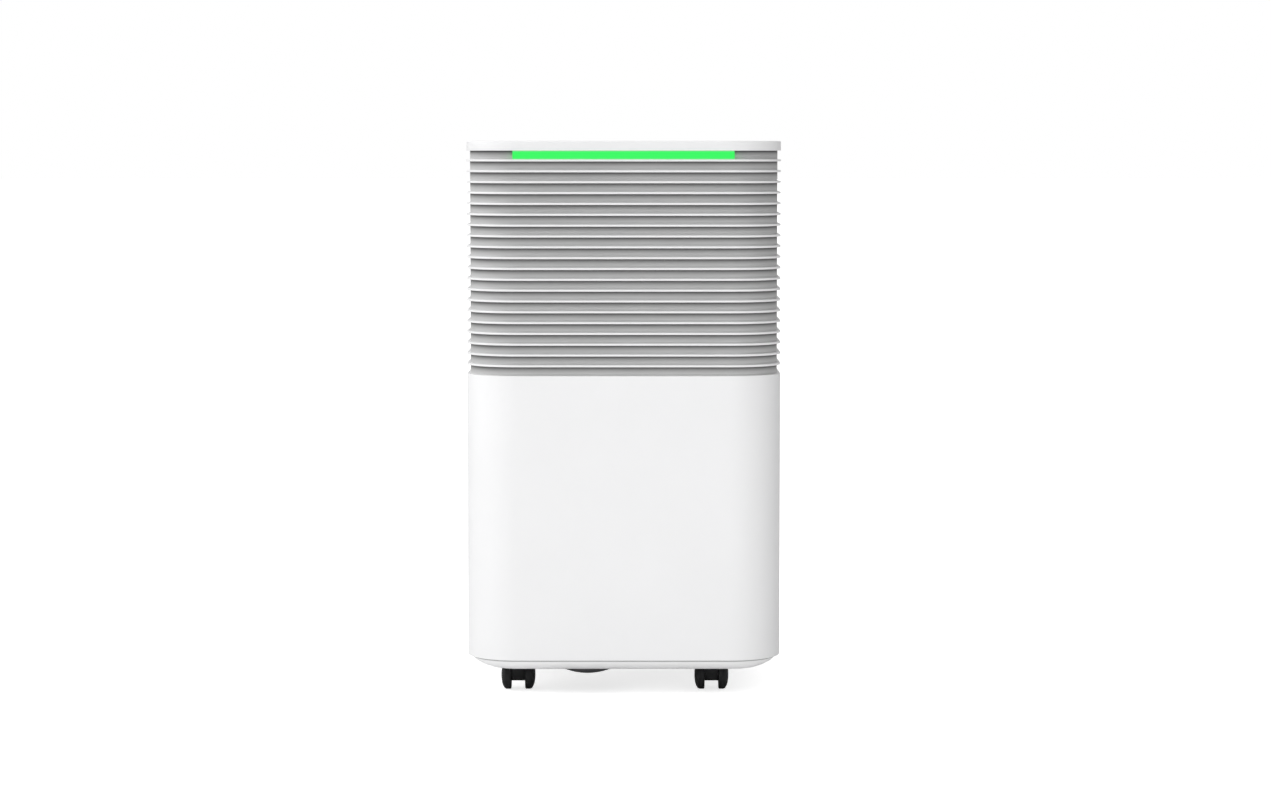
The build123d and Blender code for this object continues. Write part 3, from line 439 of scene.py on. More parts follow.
def moulded(name, color, rough=0.45, spread=0.015, grain=1800.0, depth=0.05 * MM, **sockets):
    """Injection-moulded plastic: faint cloudiness, fine grain and slightly uneven gloss."""
    material, tree, shader, where = finish_base(name, color, rough, **sockets)
    cloud = varied(tree, shader, where, color, spread, 14.0)
    roughened(tree, shader, cloud, rough - 0.05, rough + 0.05)
    grained(tree, shader, where, grain, depth)
    return material


def brushed(name, color, rough=0.3, stretch=(1.0, 1.0, 30.0), spread=0.08):
    """Bare metal with fine drawn lines and slight staining."""
    material, tree, shader, where = finish_base(name, color, rough, Metallic=1.0)
    cloud = varied(tree, shader, where, color, spread, 22.0)
    drawn = add(tree, "ShaderNodeMapping", {"Vector": where, "Scale": stretch})
    bumped(tree, shader, noise(tree, drawn.outputs[0], 160.0, 3.0), 0.2, 0.03 * MM)
    roughened(tree, shader, cloud, rough - 0.08, rough + 0.12)
    return material


def enamel(name, color, rough=0.28):
    """Sprayed paint on metal, with orange peel under a clear coat."""
    material, tree, shader, where = finish_base(name, color, rough)
    shader.inputs["Coat Weight"].default_value = 0.5
    shader.inputs["Coat Roughness"].default_value = 0.12
    varied(tree, shader, where, color, 0.12, 30.0)
    grained(tree, shader, where, 420.0, 0.12 * MM, 0.25)
    return material


def clear_tank(name):
    """Frosted see-through plastic with faint flow marks."""
    material, tree, shader, where = finish_base(name, (0.80, 0.86, 0.90), 0.22)
    shader.inputs["Transmission Weight"].default_value = 0.75
    shader.inputs["IOR"].default_value = 1.49
    cloud = varied(tree, shader, where, (0.78, 0.85, 0.89), 0.05, 18.0)
    roughened(tree, shader, cloud, 0.16, 0.30)
    grained(tree, shader, where, 700.0, 0.05 * MM, 0.2)
    return material


def light_bar(name, low, high):
    """A lit diffuser: evenly bright, with a faint unevenness from the lamps behind it."""
    material, tree, shader, where = finish_base(name, (0.004, 0.05, 0.010), 0.5, Specular_IOR_Level=0.15)
    away = maths(tree, "ABSOLUTE", maths(tree, "SUBTRACT", height_of(tree, where), (low + high) / 2))
    edge = ranged(tree, away, (high - low) * 0.30, (high - low) * 0.46, 0.0, 1.0,
                  interpolation_type="SMOOTHSTEP")
    soft = maths(tree, "MULTIPLY", edge, noise(tree, where, 60.0, 2.0))
    ramp = add(tree, "ShaderNodeValToRGB", {"Fac": soft})
    core, rim = ramp.color_ramp.elements
    rim.position = 0.5
    core.color, rim.color = (0.040, 0.90, 0.120, 1), (0.150, 0.80, 0.230, 1)
    tree.links.new(ramp.outputs["Color"], shader.inputs["Emission Color"])
    shader.inputs["Emission Strength"].default_value = 1.0
    grained(tree, shader, where, 900.0, 0.03 * MM, 0.2)
    return material


# Painted shade on the groove wall: how pale it is, from one rib's underside (0) towards the next rib's (1).
GROOVE_PAINTED_SHADE = ((0.0, 0.08), (0.10, 0.15), (0.24, 0.31), (0.42, 0.46), (0.80, 0.61))


def groove_with_painted_shade(name, top, pitch):
    """Grey plastic with painted shade: darkest tight under each rib and palest just above the next one down."""
    material, tree, shader, where = finish_base(name, (0.4, 0.4, 0.4), 0.6, Specular_IOR_Level=0.25)
    # the painted shade repeats every rib pitch, counted down from just under the cap
    below = maths(tree, "SUBTRACT", top, height_of(tree, where))
    place = maths(tree, "FRACT", maths(tree, "DIVIDE", below, pitch))
    ramp = add(tree, "ShaderNodeValToRGB", {"Fac": place})
    stops = ramp.color_ramp.elements
    for stop, (position, level) in zip(stops, (GROOVE_PAINTED_SHADE[0], GROOVE_PAINTED_SHADE[-1])):
        stop.position, stop.color = position, shade(level)
    for position, level in GROOVE_PAINTED_SHADE[1:-1]:
        stops.new(position).color = shade(level)
    cloud = noise(tree, where, 20.0, 3.0)
    drift = ranged(tree, cloud, 0.3, 0.7, 0.97, 1.03)
    tint = add(tree, "ShaderNodeVectorMath", {0: ramp.outputs["Color"], "Scale": drift},
               operation="SCALE")
    tree.links.new(tint.outputs[0], shader.inputs["Base Color"])
    roughened(tree, shader, cloud, 0.52, 0.64)
    grained(tree, shader, where, 1800.0, 0.04 * MM)
    return material


def painted_seam_shadow(material, level):
    """Adds painted shadow on the base: a dim line just under a height, where the seam above shades it."""
    tree = material.node_tree
    shader = tree.nodes["Principled BSDF"]
    tint = shader.inputs["Base Color"].links[0].from_socket
    where = add(tree, "ShaderNodeTexCoord").outputs["Object"]
    # painted shadow: the colour falls to 0.30 within 0.8 mm under the seam, fading out by 1.9 mm below it
    dim = ranged(tree, height_of(tree, where), level - 1.9 * MM, level - 0.8 * MM, 1.0, 0.30)
    dimmed = add(tree, "ShaderNodeVectorMath", {0: tint, "Scale": dim}, operation="SCALE")
    tree.links.new(dimmed.outputs[0], shader.inputs["Base Color"])
    return material


def board_finish(name):
    """Solder mask over copper tracks."""
    material, tree, shader, where = finish_base(name, (0.02, 0.16, 0.06), 0.35)
    tracks = add(tree, "ShaderNodeTexBrick", {
        "Vector": where, "Scale": 90.0, "Mortar Size": 0.06, "Mortar": (0.05, 0.28, 0.12, 1),
        "Color1": (0.015, 0.13, 0.05, 1), "Color2": (0.02, 0.17, 0.06, 1)})
    tree.links.new(tracks.outputs["Color"], shader.inputs["Base Color"])
    grained(tree, shader, where, 500.0, 0.04 * MM, 0.3)
    return material


HOUSING = moulded("white satin housing", (0.80, 0.80, 0.805), 0.42, 0.008, 2200.0, 0.03 * MM)
# the groove wall's grey carries painted shade under each rib
GROOVE = groove_with_painted_shade("grey groove wall", CAP_BOTTOM - 0.2 * MM, RIB_PITCH)
# white base with a painted shadow line just under the shell's bottom edge
BASE = painted_seam_shadow(moulded("white base", (0.965, 0.965, 0.968), 0.45, 0.015), SHELL_BOTTOM)
WELL = moulded("dark grey dish", (0.085, 0.085, 0.088), 0.5, 0.06, Specular_IOR_Level=0.3)
LIT = light_bar("lit green diffuser", STRIP_LOW.z, STRIP_HIGH.z)
BOARD = board_finish("circuit board")
PANEL = moulded("black gloss panel", (0.012, 0.012, 0.014), 0.14, 0.1, 300.0, 0.01 * MM, Coat_Weight=0.6)
LENS = moulded("smoked display window", (0.008, 0.009, 0.012), 0.08, 0.1, 200.0, 0.005 * MM,
               Coat_Weight=1.0)
KEY = moulded("soft white key", (0.70, 0.70, 0.71), 0.5, 0.02)
FILTER = moulded("filter frame grey", (0.10, 0.105, 0.115), 0.5, 0.05)
NET = moulded("filter thread", (0.05, 0.053, 0.06), 0.7, 0.15)
INNER = moulded("inner grey moulding", (0.30, 0.305, 0.31), 0.5, 0.03)
CLEAR = clear_tank("frosted tank")
LID = moulded("grey tank lid", (0.42, 0.425, 0.43), 0.45, 0.02)
FLOAT = moulded("orange float", (0.70, 0.20, 0.03), 0.6, 0.06, 500.0, 0.1 * MM)
FIN = brushed("fin aluminium", (0.89, 0.90, 0.91), 0.46)
COPPER = brushed("drawn copper", (0.78, 0.36, 0.20), 0.28, (20.0, 20.0, 1.0), 0.15)
CAN = enamel("black enamel", (0.012, 0.012, 0.013))
RUBBER = moulded("rubber", (0.018, 0.018, 0.018), 0.75, 0.15, 900.0, 0.1 * MM)
MOTOR = enamel("motor grey", (0.16, 0.165, 0.17), 0.35)
IMPELLER = moulded("black fan plastic", (0.03, 0.03, 0.032), 0.4, 0.1)
CAPACITOR = brushed("capacitor can", (0.75, 0.75, 0.76), 0.25)
SWITCH = moulded("switch black", (0.02, 0.02, 0.021), 0.45, 0.1)
STEEL = brushed("zinc-plated steel", (0.62, 0.62, 0.63), 0.25)
CASTER = moulded("caster black", (0.019, 0.019, 0.0195), 0.5, 0.15, 1200.0, 0.06 * MM,
                 Specular_IOR_Level=0.2)
TREAD = moulded("wheel black", (0.013, 0.013, 0.0135), 0.55, 0.15, 800.0, 0.1 * MM,
                Specular_IOR_Level=0.2)
MARK = moulded("key mark grey", (0.09, 0.09, 0.095), 0.5, 0.05)

FINISHES = {
    "housing_white": HOUSING, "groove_grey": GROOVE, "base_grey": BASE, "well_dark": WELL, "light_green": LIT,
    "board_green": BOARD, "panel_black": PANEL, "lens_dark": LENS, "button_white": KEY, "filter_grey": FILTER,
    "filter_net": NET, "inner_plastic": INNER, "tank_clear": CLEAR, "lid_grey": LID, "float_orange": FLOAT,
    "fin_metal": FIN, "copper": COPPER, "compressor_black": CAN, "grommet_rubber": RUBBER, "motor_metal": MOTOR,
    "impeller_black": IMPELLER, "capacitor_can": CAPACITOR, "switch_black": SWITCH, "screw_steel": STEEL,
    "caster_black": CASTER, "wheel_black": TREAD,
}
NODE_SLOT = {part["node"]: part["material_slot"] for part in frame["record"]["subparts"]}
for node, obj in frame["nodes"].items():
    wear(obj.data, FINISHES[NODE_SLOT[node]])

ROUND_WALL, ROW, WHEEL, SCREWS = round_wall_tree(), row_tree(), wheel_tree(), screw_tree()


# --- camera, floor and light --------------------------------------------------------------------
CAMERA_PLACE, CAMERA_DIP, CAMERA_LENS = (0.01104, -3.0970, 0.5066), 0.0763, 91.42
FLOOR_REACH, FLOOR_SHADE, FLOOR_GLOW = 60.0, 0.78, 0.71
SKY_LEFT, SKY_RIGHT = 0.99, 0.43
LIGHTS = (  # name, place, aim, size across and up, power, whether gloss mirrors it
    ("key from above", (-0.6, -2.2, 3.0), (0, 0, 0.3), (2.4, 1.6), 34.0, True),
    ("fill from the left", (-3.2, 0.0, 1.8), (0, 0, 0.3), (1.6, 2.0), 29.0, True),
    ("low fill", (0.1, -1.1, 0.06), (0, -0.1, 0.03), (1.4, 0.10), 2.4, False),
)


def set_camera():
    """A long lens from straight in front, a little above the middle."""
    camera = bpy.data.cameras.new("camera")
    camera.lens, camera.sensor_width = CAMERA_LENS, 36.0
    camera.clip_end = 200.0
    obj = put("camera", camera)
    obj.location = CAMERA_PLACE
    obj.rotation_euler = (math.pi / 2 - CAMERA_DIP, 0, 0)
    bpy.context.scene.camera = obj


def set_floor():
    """A wide pale floor, which the eye sees as brighter than the light it throws back."""
    corners = [(x * FLOOR_REACH, y * FLOOR_REACH, 0) for x, y in ((-1, -1), (1, -1), (1, 1), (-1, 1))]
    mesh = mesh_from(corners, faces=[(0, 1, 2, 3)])
    floor = put("floor", mesh)
    material, tree, shader, _ = finish_base("pale floor", (FLOOR_SHADE,) * 3, 0.9, Specular_IOR_Level=0.0)
    seen = add(tree, "ShaderNodeLightPath").outputs["Is Camera Ray"]
    shader.inputs["Emission Color"].default_value = (1, 1, 1, 1)
    tree.links.new(maths(tree, "MULTIPLY", seen, FLOOR_GLOW), shader.inputs["Emission Strength"])
    mesh.materials.append(material)


def set_world():
    """White all round for the eye, but light that falls off from the left to the right."""
    world = bpy.data.worlds.new("studio")
    bpy.context.scene.world = world
    world.use_nodes = True
    tree = world.node_tree
    background = tree.nodes["Background"]
    direction = add(tree, "ShaderNodeTexCoord").outputs["Generated"]
    side = add(tree, "ShaderNodeSeparateXYZ", {"Vector": direction})
    level = ranged(tree, side.outputs["X"], -1.0, 1.0, SKY_LEFT, SKY_RIGHT)
    seen = add(tree, "ShaderNodeLightPath").outputs["Is Camera Ray"]
    both = add(tree, "ShaderNodeMix", {0: seen, 2: level, 3: 1.0}, data_type="FLOAT")
    background.inputs["Color"].default_value = (1, 1, 1, 1)
    tree.links.new(both.outputs[0], background.inputs["Strength"])


def area_light(name, place, aim, size, power, mirrored):
    """A rectangular light turned towards its aim."""
    light = bpy.data.lights.new(name, "AREA")
    light.shape, light.energy = "RECTANGLE", power
    light.size, light.size_y = size
    obj = put(name, light)
    obj.location = place
    obj.rotation_euler = (Vector(aim) - Vector(place)).to_track_quat("-Z", "Y").to_euler()
    obj.visible_glossy = mirrored


set_camera()
set_floor()
set_world()
for light in LIGHTS:
    area_light(*light)
bpy.context.scene.view_settings.view_transform = "Standard"


# --- shape helpers ------------------------------------------------------------------------------
ACROSS = {"X": (1, 2), "Y": (0, 2), "Z": (0, 1)}  # the two directions across each axis


def on_axis(axis, across, up, along):
    """The point at these places across an axis, up from it and along it."""
    point = [0.0, 0.0, 0.0]
    a, b = ACROSS[axis]
    point[a], point[b], point["XYZ".index(axis)] = across, up, along
    return point


def bridge(shape, first, second):
    """Faces between two closed loops of as many points."""
    for k in range(len(first)):
        n = (k + 1) % len(first)
        shape.faces.new((first[k], first[n], second[n], second[k]))


def prism(outline, axis, low, high):
    """A closed solid with the outline as its section, from low to high along its axis."""
    shape = bmesh.new()
    ends = [[shape.verts.new(on_axis(axis, p[0], p[1], t)) for p in outline] for t in (low, high)]
    shape.faces.new(ends[0])
    shape.faces.new(ends[1])
    bridge(shape, *ends)
    bmesh.ops.recalc_face_normals(shape, faces=shape.faces)
    return to_mesh(shape)


def frame_ring(low, high, rim, axis, radius):
    """A rectangular frame with softened edges, open along the axis, its rim as wide on every side."""
    a, b = ACROSS[axis]
    t = "XYZ".index(axis)
    shape = bmesh.new()
    loops = []
    for level in (low[t], high[t]):
        for inset in (0, rim):
            a0, a1, b0, b1 = low[a] + inset, high[a] - inset, low[b] + inset, high[b] - inset
            loops.append([shape.verts.new(on_axis(axis, u, v, level))
                          for u, v in ((a0, b0), (a1, b0), (a1, b1), (a0, b1))])
    outer0, inner0, outer1, inner1 = loops
    for first, second in ((outer0, inner0), (outer1, inner1), (outer0, outer1), (inner0, inner1)):
        bridge(shape, first, second)
    bmesh.ops.recalc_face_normals(shape, faces=shape.faces)
    sharp = [e for e in shape.edges if e.calc_face_angle(0) > 0.5]
    bmesh.ops.bevel(shape, geom=sharp, offset=radius, segments=2, affect="EDGES", profile=0.5)
    return to_mesh(shape)


def arc(centre, radius, start, stop, steps=24):
    """Points on an arc in a plane, with its angles in degrees."""
    angles = [math.radians(start + (stop - start) * k / steps) for k in range(steps + 1)]
    return [(centre[0] + radius * math.cos(t), centre[1] + radius * math.sin(t)) for t in angles]


def band(radius, width, start, stop):
    """The outline of a stroke curved about the origin."""
    outer = arc((0, 0), radius + width / 2, start, stop)
    return outer + arc((0, 0), radius - width / 2, stop, start)


def rod(radius, start, stop, centre, axis, steps=32, ease=0.0):
    """A closed round bar from start to stop along its axis."""
    flat = radius - ease
    ends = [(0, start), (radius, start), (radius, stop), (0, stop)]
    if ease:
        ends = [(0, start), (flat, start), (radius, start + ease), (radius, stop - ease), (flat, stop),
                (0, stop)]
    return spun(ends, centre, axis, steps)


def in_mm(*points):
    """Points given in millimetres."""
    return [tuple(v * MM for v in point) for point in points]


def block(low, high, radius=0.3, steps=2):
    """A bar with its corners and its edge radius in millimetres."""
    return bar(*in_mm(low, high), radius * MM, steps)


def halfway(low, high):
    """The point in the middle of a box."""
    return (low + high) / 2


# --- ribbed front -------------------------------------------------------------------------------
CORNER_STEPS = 22
LAMP_COUNT, LAMP_PITCH = 13, 15 * MM


def wall(corners, finish, half=HALF_WIDTH, front=FRONT, seam=SEAM, radius=FRONT_R, steps=5):
    """A wall round the front, from the corners of its section as (outwards, up, radius)."""
    return grow(ROUND_WALL, profile(corners, steps), finish, Half_width=half, Front=front, Seam=seam,
                Corner_radius=radius, Corner_steps=CORNER_STEPS)


def build_front_shell():
    """The lower panel, which turns in at its top, a post at each side of the seam, and the ribs."""
    inner, lip, under = -2.5 * MM, -RIB_DEPTH, PANEL_TOP - RIB_THICK
    panel = wall([(0, SHELL_BOTTOM, 0.5 * MM), (0, PANEL_TOP, 0.6 * MM), (lip, PANEL_TOP, 0),
                  (lip, under, 0), (inner, under, 0.4 * MM), (inner, SHELL_BOTTOM, 0.6 * MM)], HOUSING)
    posts = [bar((x0, SEAM - 6 * MM, PANEL_TOP - 1 * MM), (x1, SEAM, CAP_BOTTOM), 0.4 * MM)
             for x0, x1 in ((-HALF_WIDTH, -LINER_HALF), (LINER_HALF, HALF_WIDTH))]
    piece("front_panel", merged([panel, *posts]), "housing_white", "front_shell")
    low, high, ease = FIRST_RIB - RIB_THICK / 2, FIRST_RIB + RIB_THICK / 2, 0.55 * MM
    rib = wall([(0, low, ease), (0, high, ease), (-RIB_DEPTH, high, 0), (-RIB_DEPTH, low, 0)], HOUSING,
               steps=3)
    ribs = grow(ROW, rib, HOUSING, Count=RIB_COUNT, Step=(0, 0, -RIB_PITCH))
    piece("front_ribs", ribs, "housing_white")


def build_groove_wall():
    """The grey wall behind the ribs, with a row of upright bars between the slots at each side."""
    low, high, thick = LINER_LOW.z, LINER_HIGH.z, -2 * MM
    slot_low, slot_high = PANEL_TOP + 8 * MM, FIRST_RIB - 2 * MM
    first, last = SLOT_FIRST - 1 * MM, SLOT_FIRST + (SLOT_COUNT - 1) * SLOT_PITCH + 1 * MM
    front = wall([(0, low, 0), (0, high, 0), (thick, high, 0), (thick, low, 0)], GROOVE, LINER_HALF,
                 LINER_FRONT, first, LINER_R)
    parts = [front]
    for side in (-1, 1):
        x0, x1 = sorted((side * LINER_HALF, side * (LINER_HALF + thick)))
        parts += [bar((x0, start, z0), (x1, SEAM, z1), 0)
                  for start, z0, z1 in ((first, low, slot_low), (first, slot_high, high),
                                        (last, slot_low, slot_high))]
        upright = bar((x0, first + 2 * MM, slot_low), (x1, first + SLOT_PITCH, slot_high), 0.25 * MM)
        parts.append(grow(ROW, upright, GROOVE, Count=SLOT_COUNT - 1, Step=(0, SLOT_PITCH, 0)))
    piece("groove_wall", merged(parts), "groove_grey", "groove_liner")


def build_light():
    """The lit bar: a flat lens with a rounded rim, and a shallow ridge for each lamp on its back."""
    back, bottom, top = STRIP_HIGH.y, STRIP_LOW.z, STRIP_HIGH.z
    lens = bar(STRIP_LOW, (STRIP_HIGH.x, back - 0.5 * MM, top), 0.5 * MM, 3)
    ridge = bar((-91.2 * MM, back - 1.5 * MM, bottom + 2 * MM), (-88.8 * MM, back, top - 2 * MM), 0.2 * MM)
    ridges = grow(ROW, ridge, LIT, Count=LAMP_COUNT, Step=(LAMP_PITCH, 0, 0))
    piece("light_bar", merged([lens, ridges]), "light_green", "led_strip")


# --- housing ------------------------------------------------------------------------------------
DISH_RINGS = (12, 20, 27)  # the radii of the rings pressed into the dish, in millimetres
DISH_THICK = 1.6 * MM
DISH_SCREWS = (50, 170, 290)  # where they stand round the dish, in degrees


def build_housing():
    """The moulded parts whose CAD shape only needs its edges eased."""
    eased_piece("cap", "top_cover", 0.3)
    eased_piece("rear_housing", "rear_shell", 0.35)
    eased_piece("grip_cups", "side_grip_cups", 0.6, 3, slot="housing_white")
    eased_piece("base", "base_tray", 0.4)
    eased_piece("cord_collar", "cord_gland", 0.5, 3)
    eased_piece("drain_flap", "drain_door", 0.3, body="drain_door")
    eased_piece("drip_pan", "drip_tray", 0.4)
    eased_piece("tank_room", "tank_bay", 0.4)


def build_dish():
    """The round cover of the compressor's well: a shallow dish with rings pressed into it."""
    low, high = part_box("compressor_well_cover")
    centre = halfway(low, high)
    ball, flange = 61 * MM, 40 * MM
    rim, top = low.z + ball, high.z
    face = top - DISH_THICK

    def depth(radius, ball_radius):
        return rim - math.sqrt(ball_radius ** 2 - radius ** 2)

    reach = math.sqrt(ball ** 2 - (rim - face) ** 2)
    outer = []
    for k in range(33):
        r = reach * k / 32
        groove = sum(math.exp(-((r - c * MM) / (0.7 * MM)) ** 2) for c in DISH_RINGS) * 0.5 * MM
        outer.append((r, min(depth(r, ball) + groove, face)))
    inner_ball = ball - DISH_THICK
    inner_reach = math.sqrt(inner_ball ** 2 - (rim - top) ** 2)
    inner = [(inner_reach * k / 16, depth(inner_reach * k / 16, inner_ball)) for k in range(16, -1, -1)]
    section = outer + [(flange - 0.4 * MM, face), (flange, face + 0.4 * MM), (flange, top)] + inner
    piece("compressor_dish", spun(section, (centre.x, centre.y, 0), "Z", 96), "well_dark",
          "compressor_well_cover")


def build_screws():
    """Cross-head screws: six in the rear housing, three under the dish."""
    rear = [(s * x * MM, BACK - 1.5 * MM, z * MM)
            for s, x, z in ((-1, 117.5, 70), (-1, 117.5, 216), (1, 117.5, 70), (1, 117.5, 216),
                            (-1, 112, 504), (1, 112, 504))]
    heads = grow(SCREWS, mesh_from(rear), STEEL, Head_radius=3.3 * MM, Head_height=1.4 * MM,
                 Slot_width=0.9 * MM, Tilt=(-math.pi / 2, 0, 0))
    low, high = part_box("compressor_well_cover")
    centre, level = halfway(low, high), high.z - DISH_THICK
    under = [(centre.x + 37.2 * MM * math.cos(math.radians(a)),
              centre.y + 37.2 * MM * math.sin(math.radians(a)), level) for a in DISH_SCREWS]
    small = grow(SCREWS, mesh_from(under), STEEL, Head_radius=2.3 * MM, Head_height=1.3 * MM,
                 Slot_width=0.7 * MM, Tilt=(math.pi, 0, 0))
    shanks = [rod(1.4 * MM, -13 * MM, 0.3 * MM, p, "Y", 12) for p in rear]
    shanks += [rod(1.1 * MM, -0.3 * MM, 4.2 * MM, p, "Z", 12) for p in under]
    piece("screws", merged([heads, small, *shanks]), "screw_steel", "case_screws")


# --- casters ------------------------------------------------------------------------------------
WHEEL_RADIUS = 14 * MM
# One wheel as (radius, along its axle): its back, its tread, a parting groove and a domed face.
WHEEL_SECTION = in_mm(
    (0, 13.1), (1.56, 13.1), (1.56, 6.6), (11.6, 6.6), (11.9, 7.1), (12.6, 7.1), (13.2, 6.6), (13.8, 7.0),
    (14, 7.6), (14, 11.0), (13.85, 11.8), (13.4, 12.7), (12.7, 13.4), (12.2, 13.7), (12.0, 13.5),
    (11.7, 13.6), (11.5, 14.1), (10, 14.8), (8, 15.4), (5.5, 15.8), (3, 16.05), (0, 16.1))


def build_casters():
    """Twin wheels either side of a hood, at each corner."""
    for place in ("front_left", "front_right", "rear_left", "rear_right"):
        eased_piece(f"caster_hood_{place}", f"caster_fork_{place}", 0.7, 3, f"caster_{place}")
        centre = halfway(*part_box(f"caster_wheels_{place}"))
        centre.z = WHEEL_RADIUS
        pair = [spun([(r, side * along) for r, along in WHEEL_SECTION], centre, "X", 72)
                for side in (-1, 1)]
        piece(f"wheel_pair_{place}", merged(pair), "wheel_black", f"caster_wheels_{place}",
              body=f"wheels_{place}")


# --- air inlet and outlet -----------------------------------------------------------------------
SLAT_COUNT, BLADE_COUNT = 22, 16


def build_inlet():
    """A frame of sloping slats that hinges at its foot, with the filter's frame behind."""
    low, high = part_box("inlet_grille")
    half, rim = 103.6 * MM, 6 * MM
    z0, z1, y0, y1 = low.z + 1.5 * MM, high.z, high.y - 3 * MM, high.y
    ring = frame_ring((-half, y0, z0), (half, y1, z1), rim, "Y", 0.5 * MM)
    hinge = (0, y1 - 1.5 * MM, z0)
    barrel = rod(1.5 * MM, -half, half, hinge, "X", 32, 0.2 * MM)
    pins = rod(1.0 * MM, low.x, high.x, hinge, "X", 24, 0.2 * MM)
    step = (z1 - z0 - 2 * rim) / (SLAT_COUNT + 1)
    z, front, back, ease = z0 + rim + step, y0 + 0.3 * MM, y1 - 0.3 * MM, 0.3 * MM
    slat = rounded([(front, z + 1.3 * MM, ease), (front, z + 0.1 * MM, ease), (back, z - 1.3 * MM, ease),
                    (back, z - 0.1 * MM, ease)], 2)
    slats = grow(ROW, prism(slat, "X", -half + 5 * MM, half - 5 * MM), HOUSING, Count=SLAT_COUNT,
                 Step=(0, 0, step))
    post = bar((-51.2 * MM, y0, z0 + 5 * MM), (-48.8 * MM, y1 - 1 * MM, z1 - 5 * MM), 0.3 * MM)
    posts = grow(ROW, post, HOUSING, Count=3, Step=(50 * MM, 0, 0))
    tab = bar((-16 * MM, y0, z1 - 14 * MM), (16 * MM, y1 - 0.9 * MM, z1 - 5 * MM), 0.5 * MM, 3)
    grip = bar((-12 * MM, y1 - 1.3 * MM, z1 - 12.8 * MM), (12 * MM, y1 - 0.3 * MM, z1 - 12.0 * MM), 0.3 * MM)
    grips = grow(ROW, grip, HOUSING, Count=4, Step=(0, 0, 2 * MM))
    piece("inlet_cover", merged([ring, barrel, pins, slats, posts, tab, grips]), "housing_white",
          "inlet_grille", body="inlet_cover")
    eased_piece("filter_surround", "filter_frame", 0.4, body="inlet_cover")


def build_net():
    """The filter's net: upright threads behind level ones."""
    low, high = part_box("filter_mesh")
    y, gap, thread = (low.y + high.y) / 2, 2.0 * MM, 0.4 * MM
    upright = bar((low.x, y - 0.38 * MM, low.z), (low.x + thread, y, high.z), 0)
    level = bar((low.x, y, low.z), (high.x, y + 0.38 * MM, low.z + thread), 0)
    uprights = grow(ROW, upright, NET, Count=int((high.x - low.x) / gap) + 1, Step=(gap * 0.998, 0, 0))
    levels = grow(ROW, level, NET, Count=int((high.z - low.z) / gap) + 1, Step=(0, 0, gap * 0.998))
    piece("filter_net", merged([uprights, levels]), "filter_net", "filter_mesh", body="inlet_cover")


def build_outlet():
    """Upright bars under the flap, and the flap itself with its finger scoop."""
    low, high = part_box("outlet_grille")
    half, z0, z1 = 89 * MM, low.z, 509 * MM
    ring = frame_ring((-half, low.y, z0), (half, high.y, z1), 3 * MM, "Z", 0.4 * MM)
    step = 2 * half / (BLADE_COUNT + 1)
    x, foot = -half + step, z0 + 1 * MM
    blade = rounded([(x - 0.8 * MM, z1, 0.6 * MM), (x + 0.8 * MM, z1, 0.6 * MM),
                     (x + 0.5 * MM, foot, 0.3 * MM), (x - 0.5 * MM, foot, 0.3 * MM)], 2)
    blades = grow(ROW, prism(blade, "Y", low.y + 2 * MM, high.y - 2 * MM), SWITCH, Count=BLADE_COUNT,
                  Step=(step, 0, 0))
    y = (low.y + high.y) / 2
    tie = bar((-half + 2 * MM, y - 1 * MM, foot), (half - 2 * MM, y + 1 * MM, z0 + 4 * MM), 0.3 * MM)
    arms = []
    for side in (-1, 1):
        for start in (8, 34):
            for inner, top in ((88, 509), (93, high.z / MM)):
                x0, x1 = sorted((side * inner, side * 97))
                arms.append(block((x0, start, 505), (x1, start + 10, top)))
    piece("outlet_bars", merged([ring, blades, tie, *arms]), "switch_black", "outlet_grille")
    eased_piece("outlet_flap", "louvre_flap", 0.3, body="louvre")


# --- controls -----------------------------------------------------------------------------------
STROKES = {  # the seven strokes of a number: its place in half widths and half heights, and if it is level
    "a": (0, 1, True), "b": (1, 0.5, False), "c": (1, -0.5, False), "d": (0, -1, True),
    "e": (-1, -0.5, False), "f": (-1, 0.5, False), "g": (0, 0, True),
}


def digit(lit, x, y, size):
    """The lit strokes of one seven-stroke number, as seen from above."""
    width, height, thick = size * 0.5, size, size * 0.11
    strokes = []
    for name in lit:
        across, up, is_level = STROKES[name]
        cx, cy = x + across * width / 2, y + up * height / 2
        end, tip = (width if is_level else height / 2) / 2 - thick * 0.25, thick / 2
        shape = [(-end, 0), (-end + tip, tip), (end - tip, tip), (end, 0), (end - tip, -tip),
                 (-end + tip, -tip)]
        strokes.append([(cx + (a if is_level else b), cy + (b if is_level else a)) for a, b in shape])
    return strokes


def key_marks():
    """The outline strokes for each key in millimetres, about its own centre."""
    blades = []
    for turn in (90, 210, 330):
        c, s = math.cos(math.radians(turn)), math.sin(math.radians(turn))
        oval = [(1.15 * math.cos(t), 0.62 * math.sin(t)) for t in [2 * math.pi * k / 20 for k in range(20)]]
        blades.append([(1.35 * c + a * c - b * s, 1.35 * s + a * s + b * c) for a, b in oval])
    return {
        "power": [band(2.3, 0.5, 125, 415), [(-0.25, 0.6), (0.25, 0.6), (0.25, 3.0), (-0.25, 3.0)]],
        "mode": [arc((0, -0.6), 1.5, -205, 25, 20) + [(0, 2.6)]],
        "fan": blades + [arc((0, 0), 0.35, 0, 345, 15)],
        "timer": [band(2.5, 0.5, 0, 180), band(2.5, 0.5, 180, 360),
                  [(-0.22, -0.2), (0.22, -0.2), (0.22, 1.6), (-0.22, 1.6)],
                  [(-0.2, -0.22), (1.3, -0.22), (1.3, 0.22), (-0.2, 0.22)]],
    }


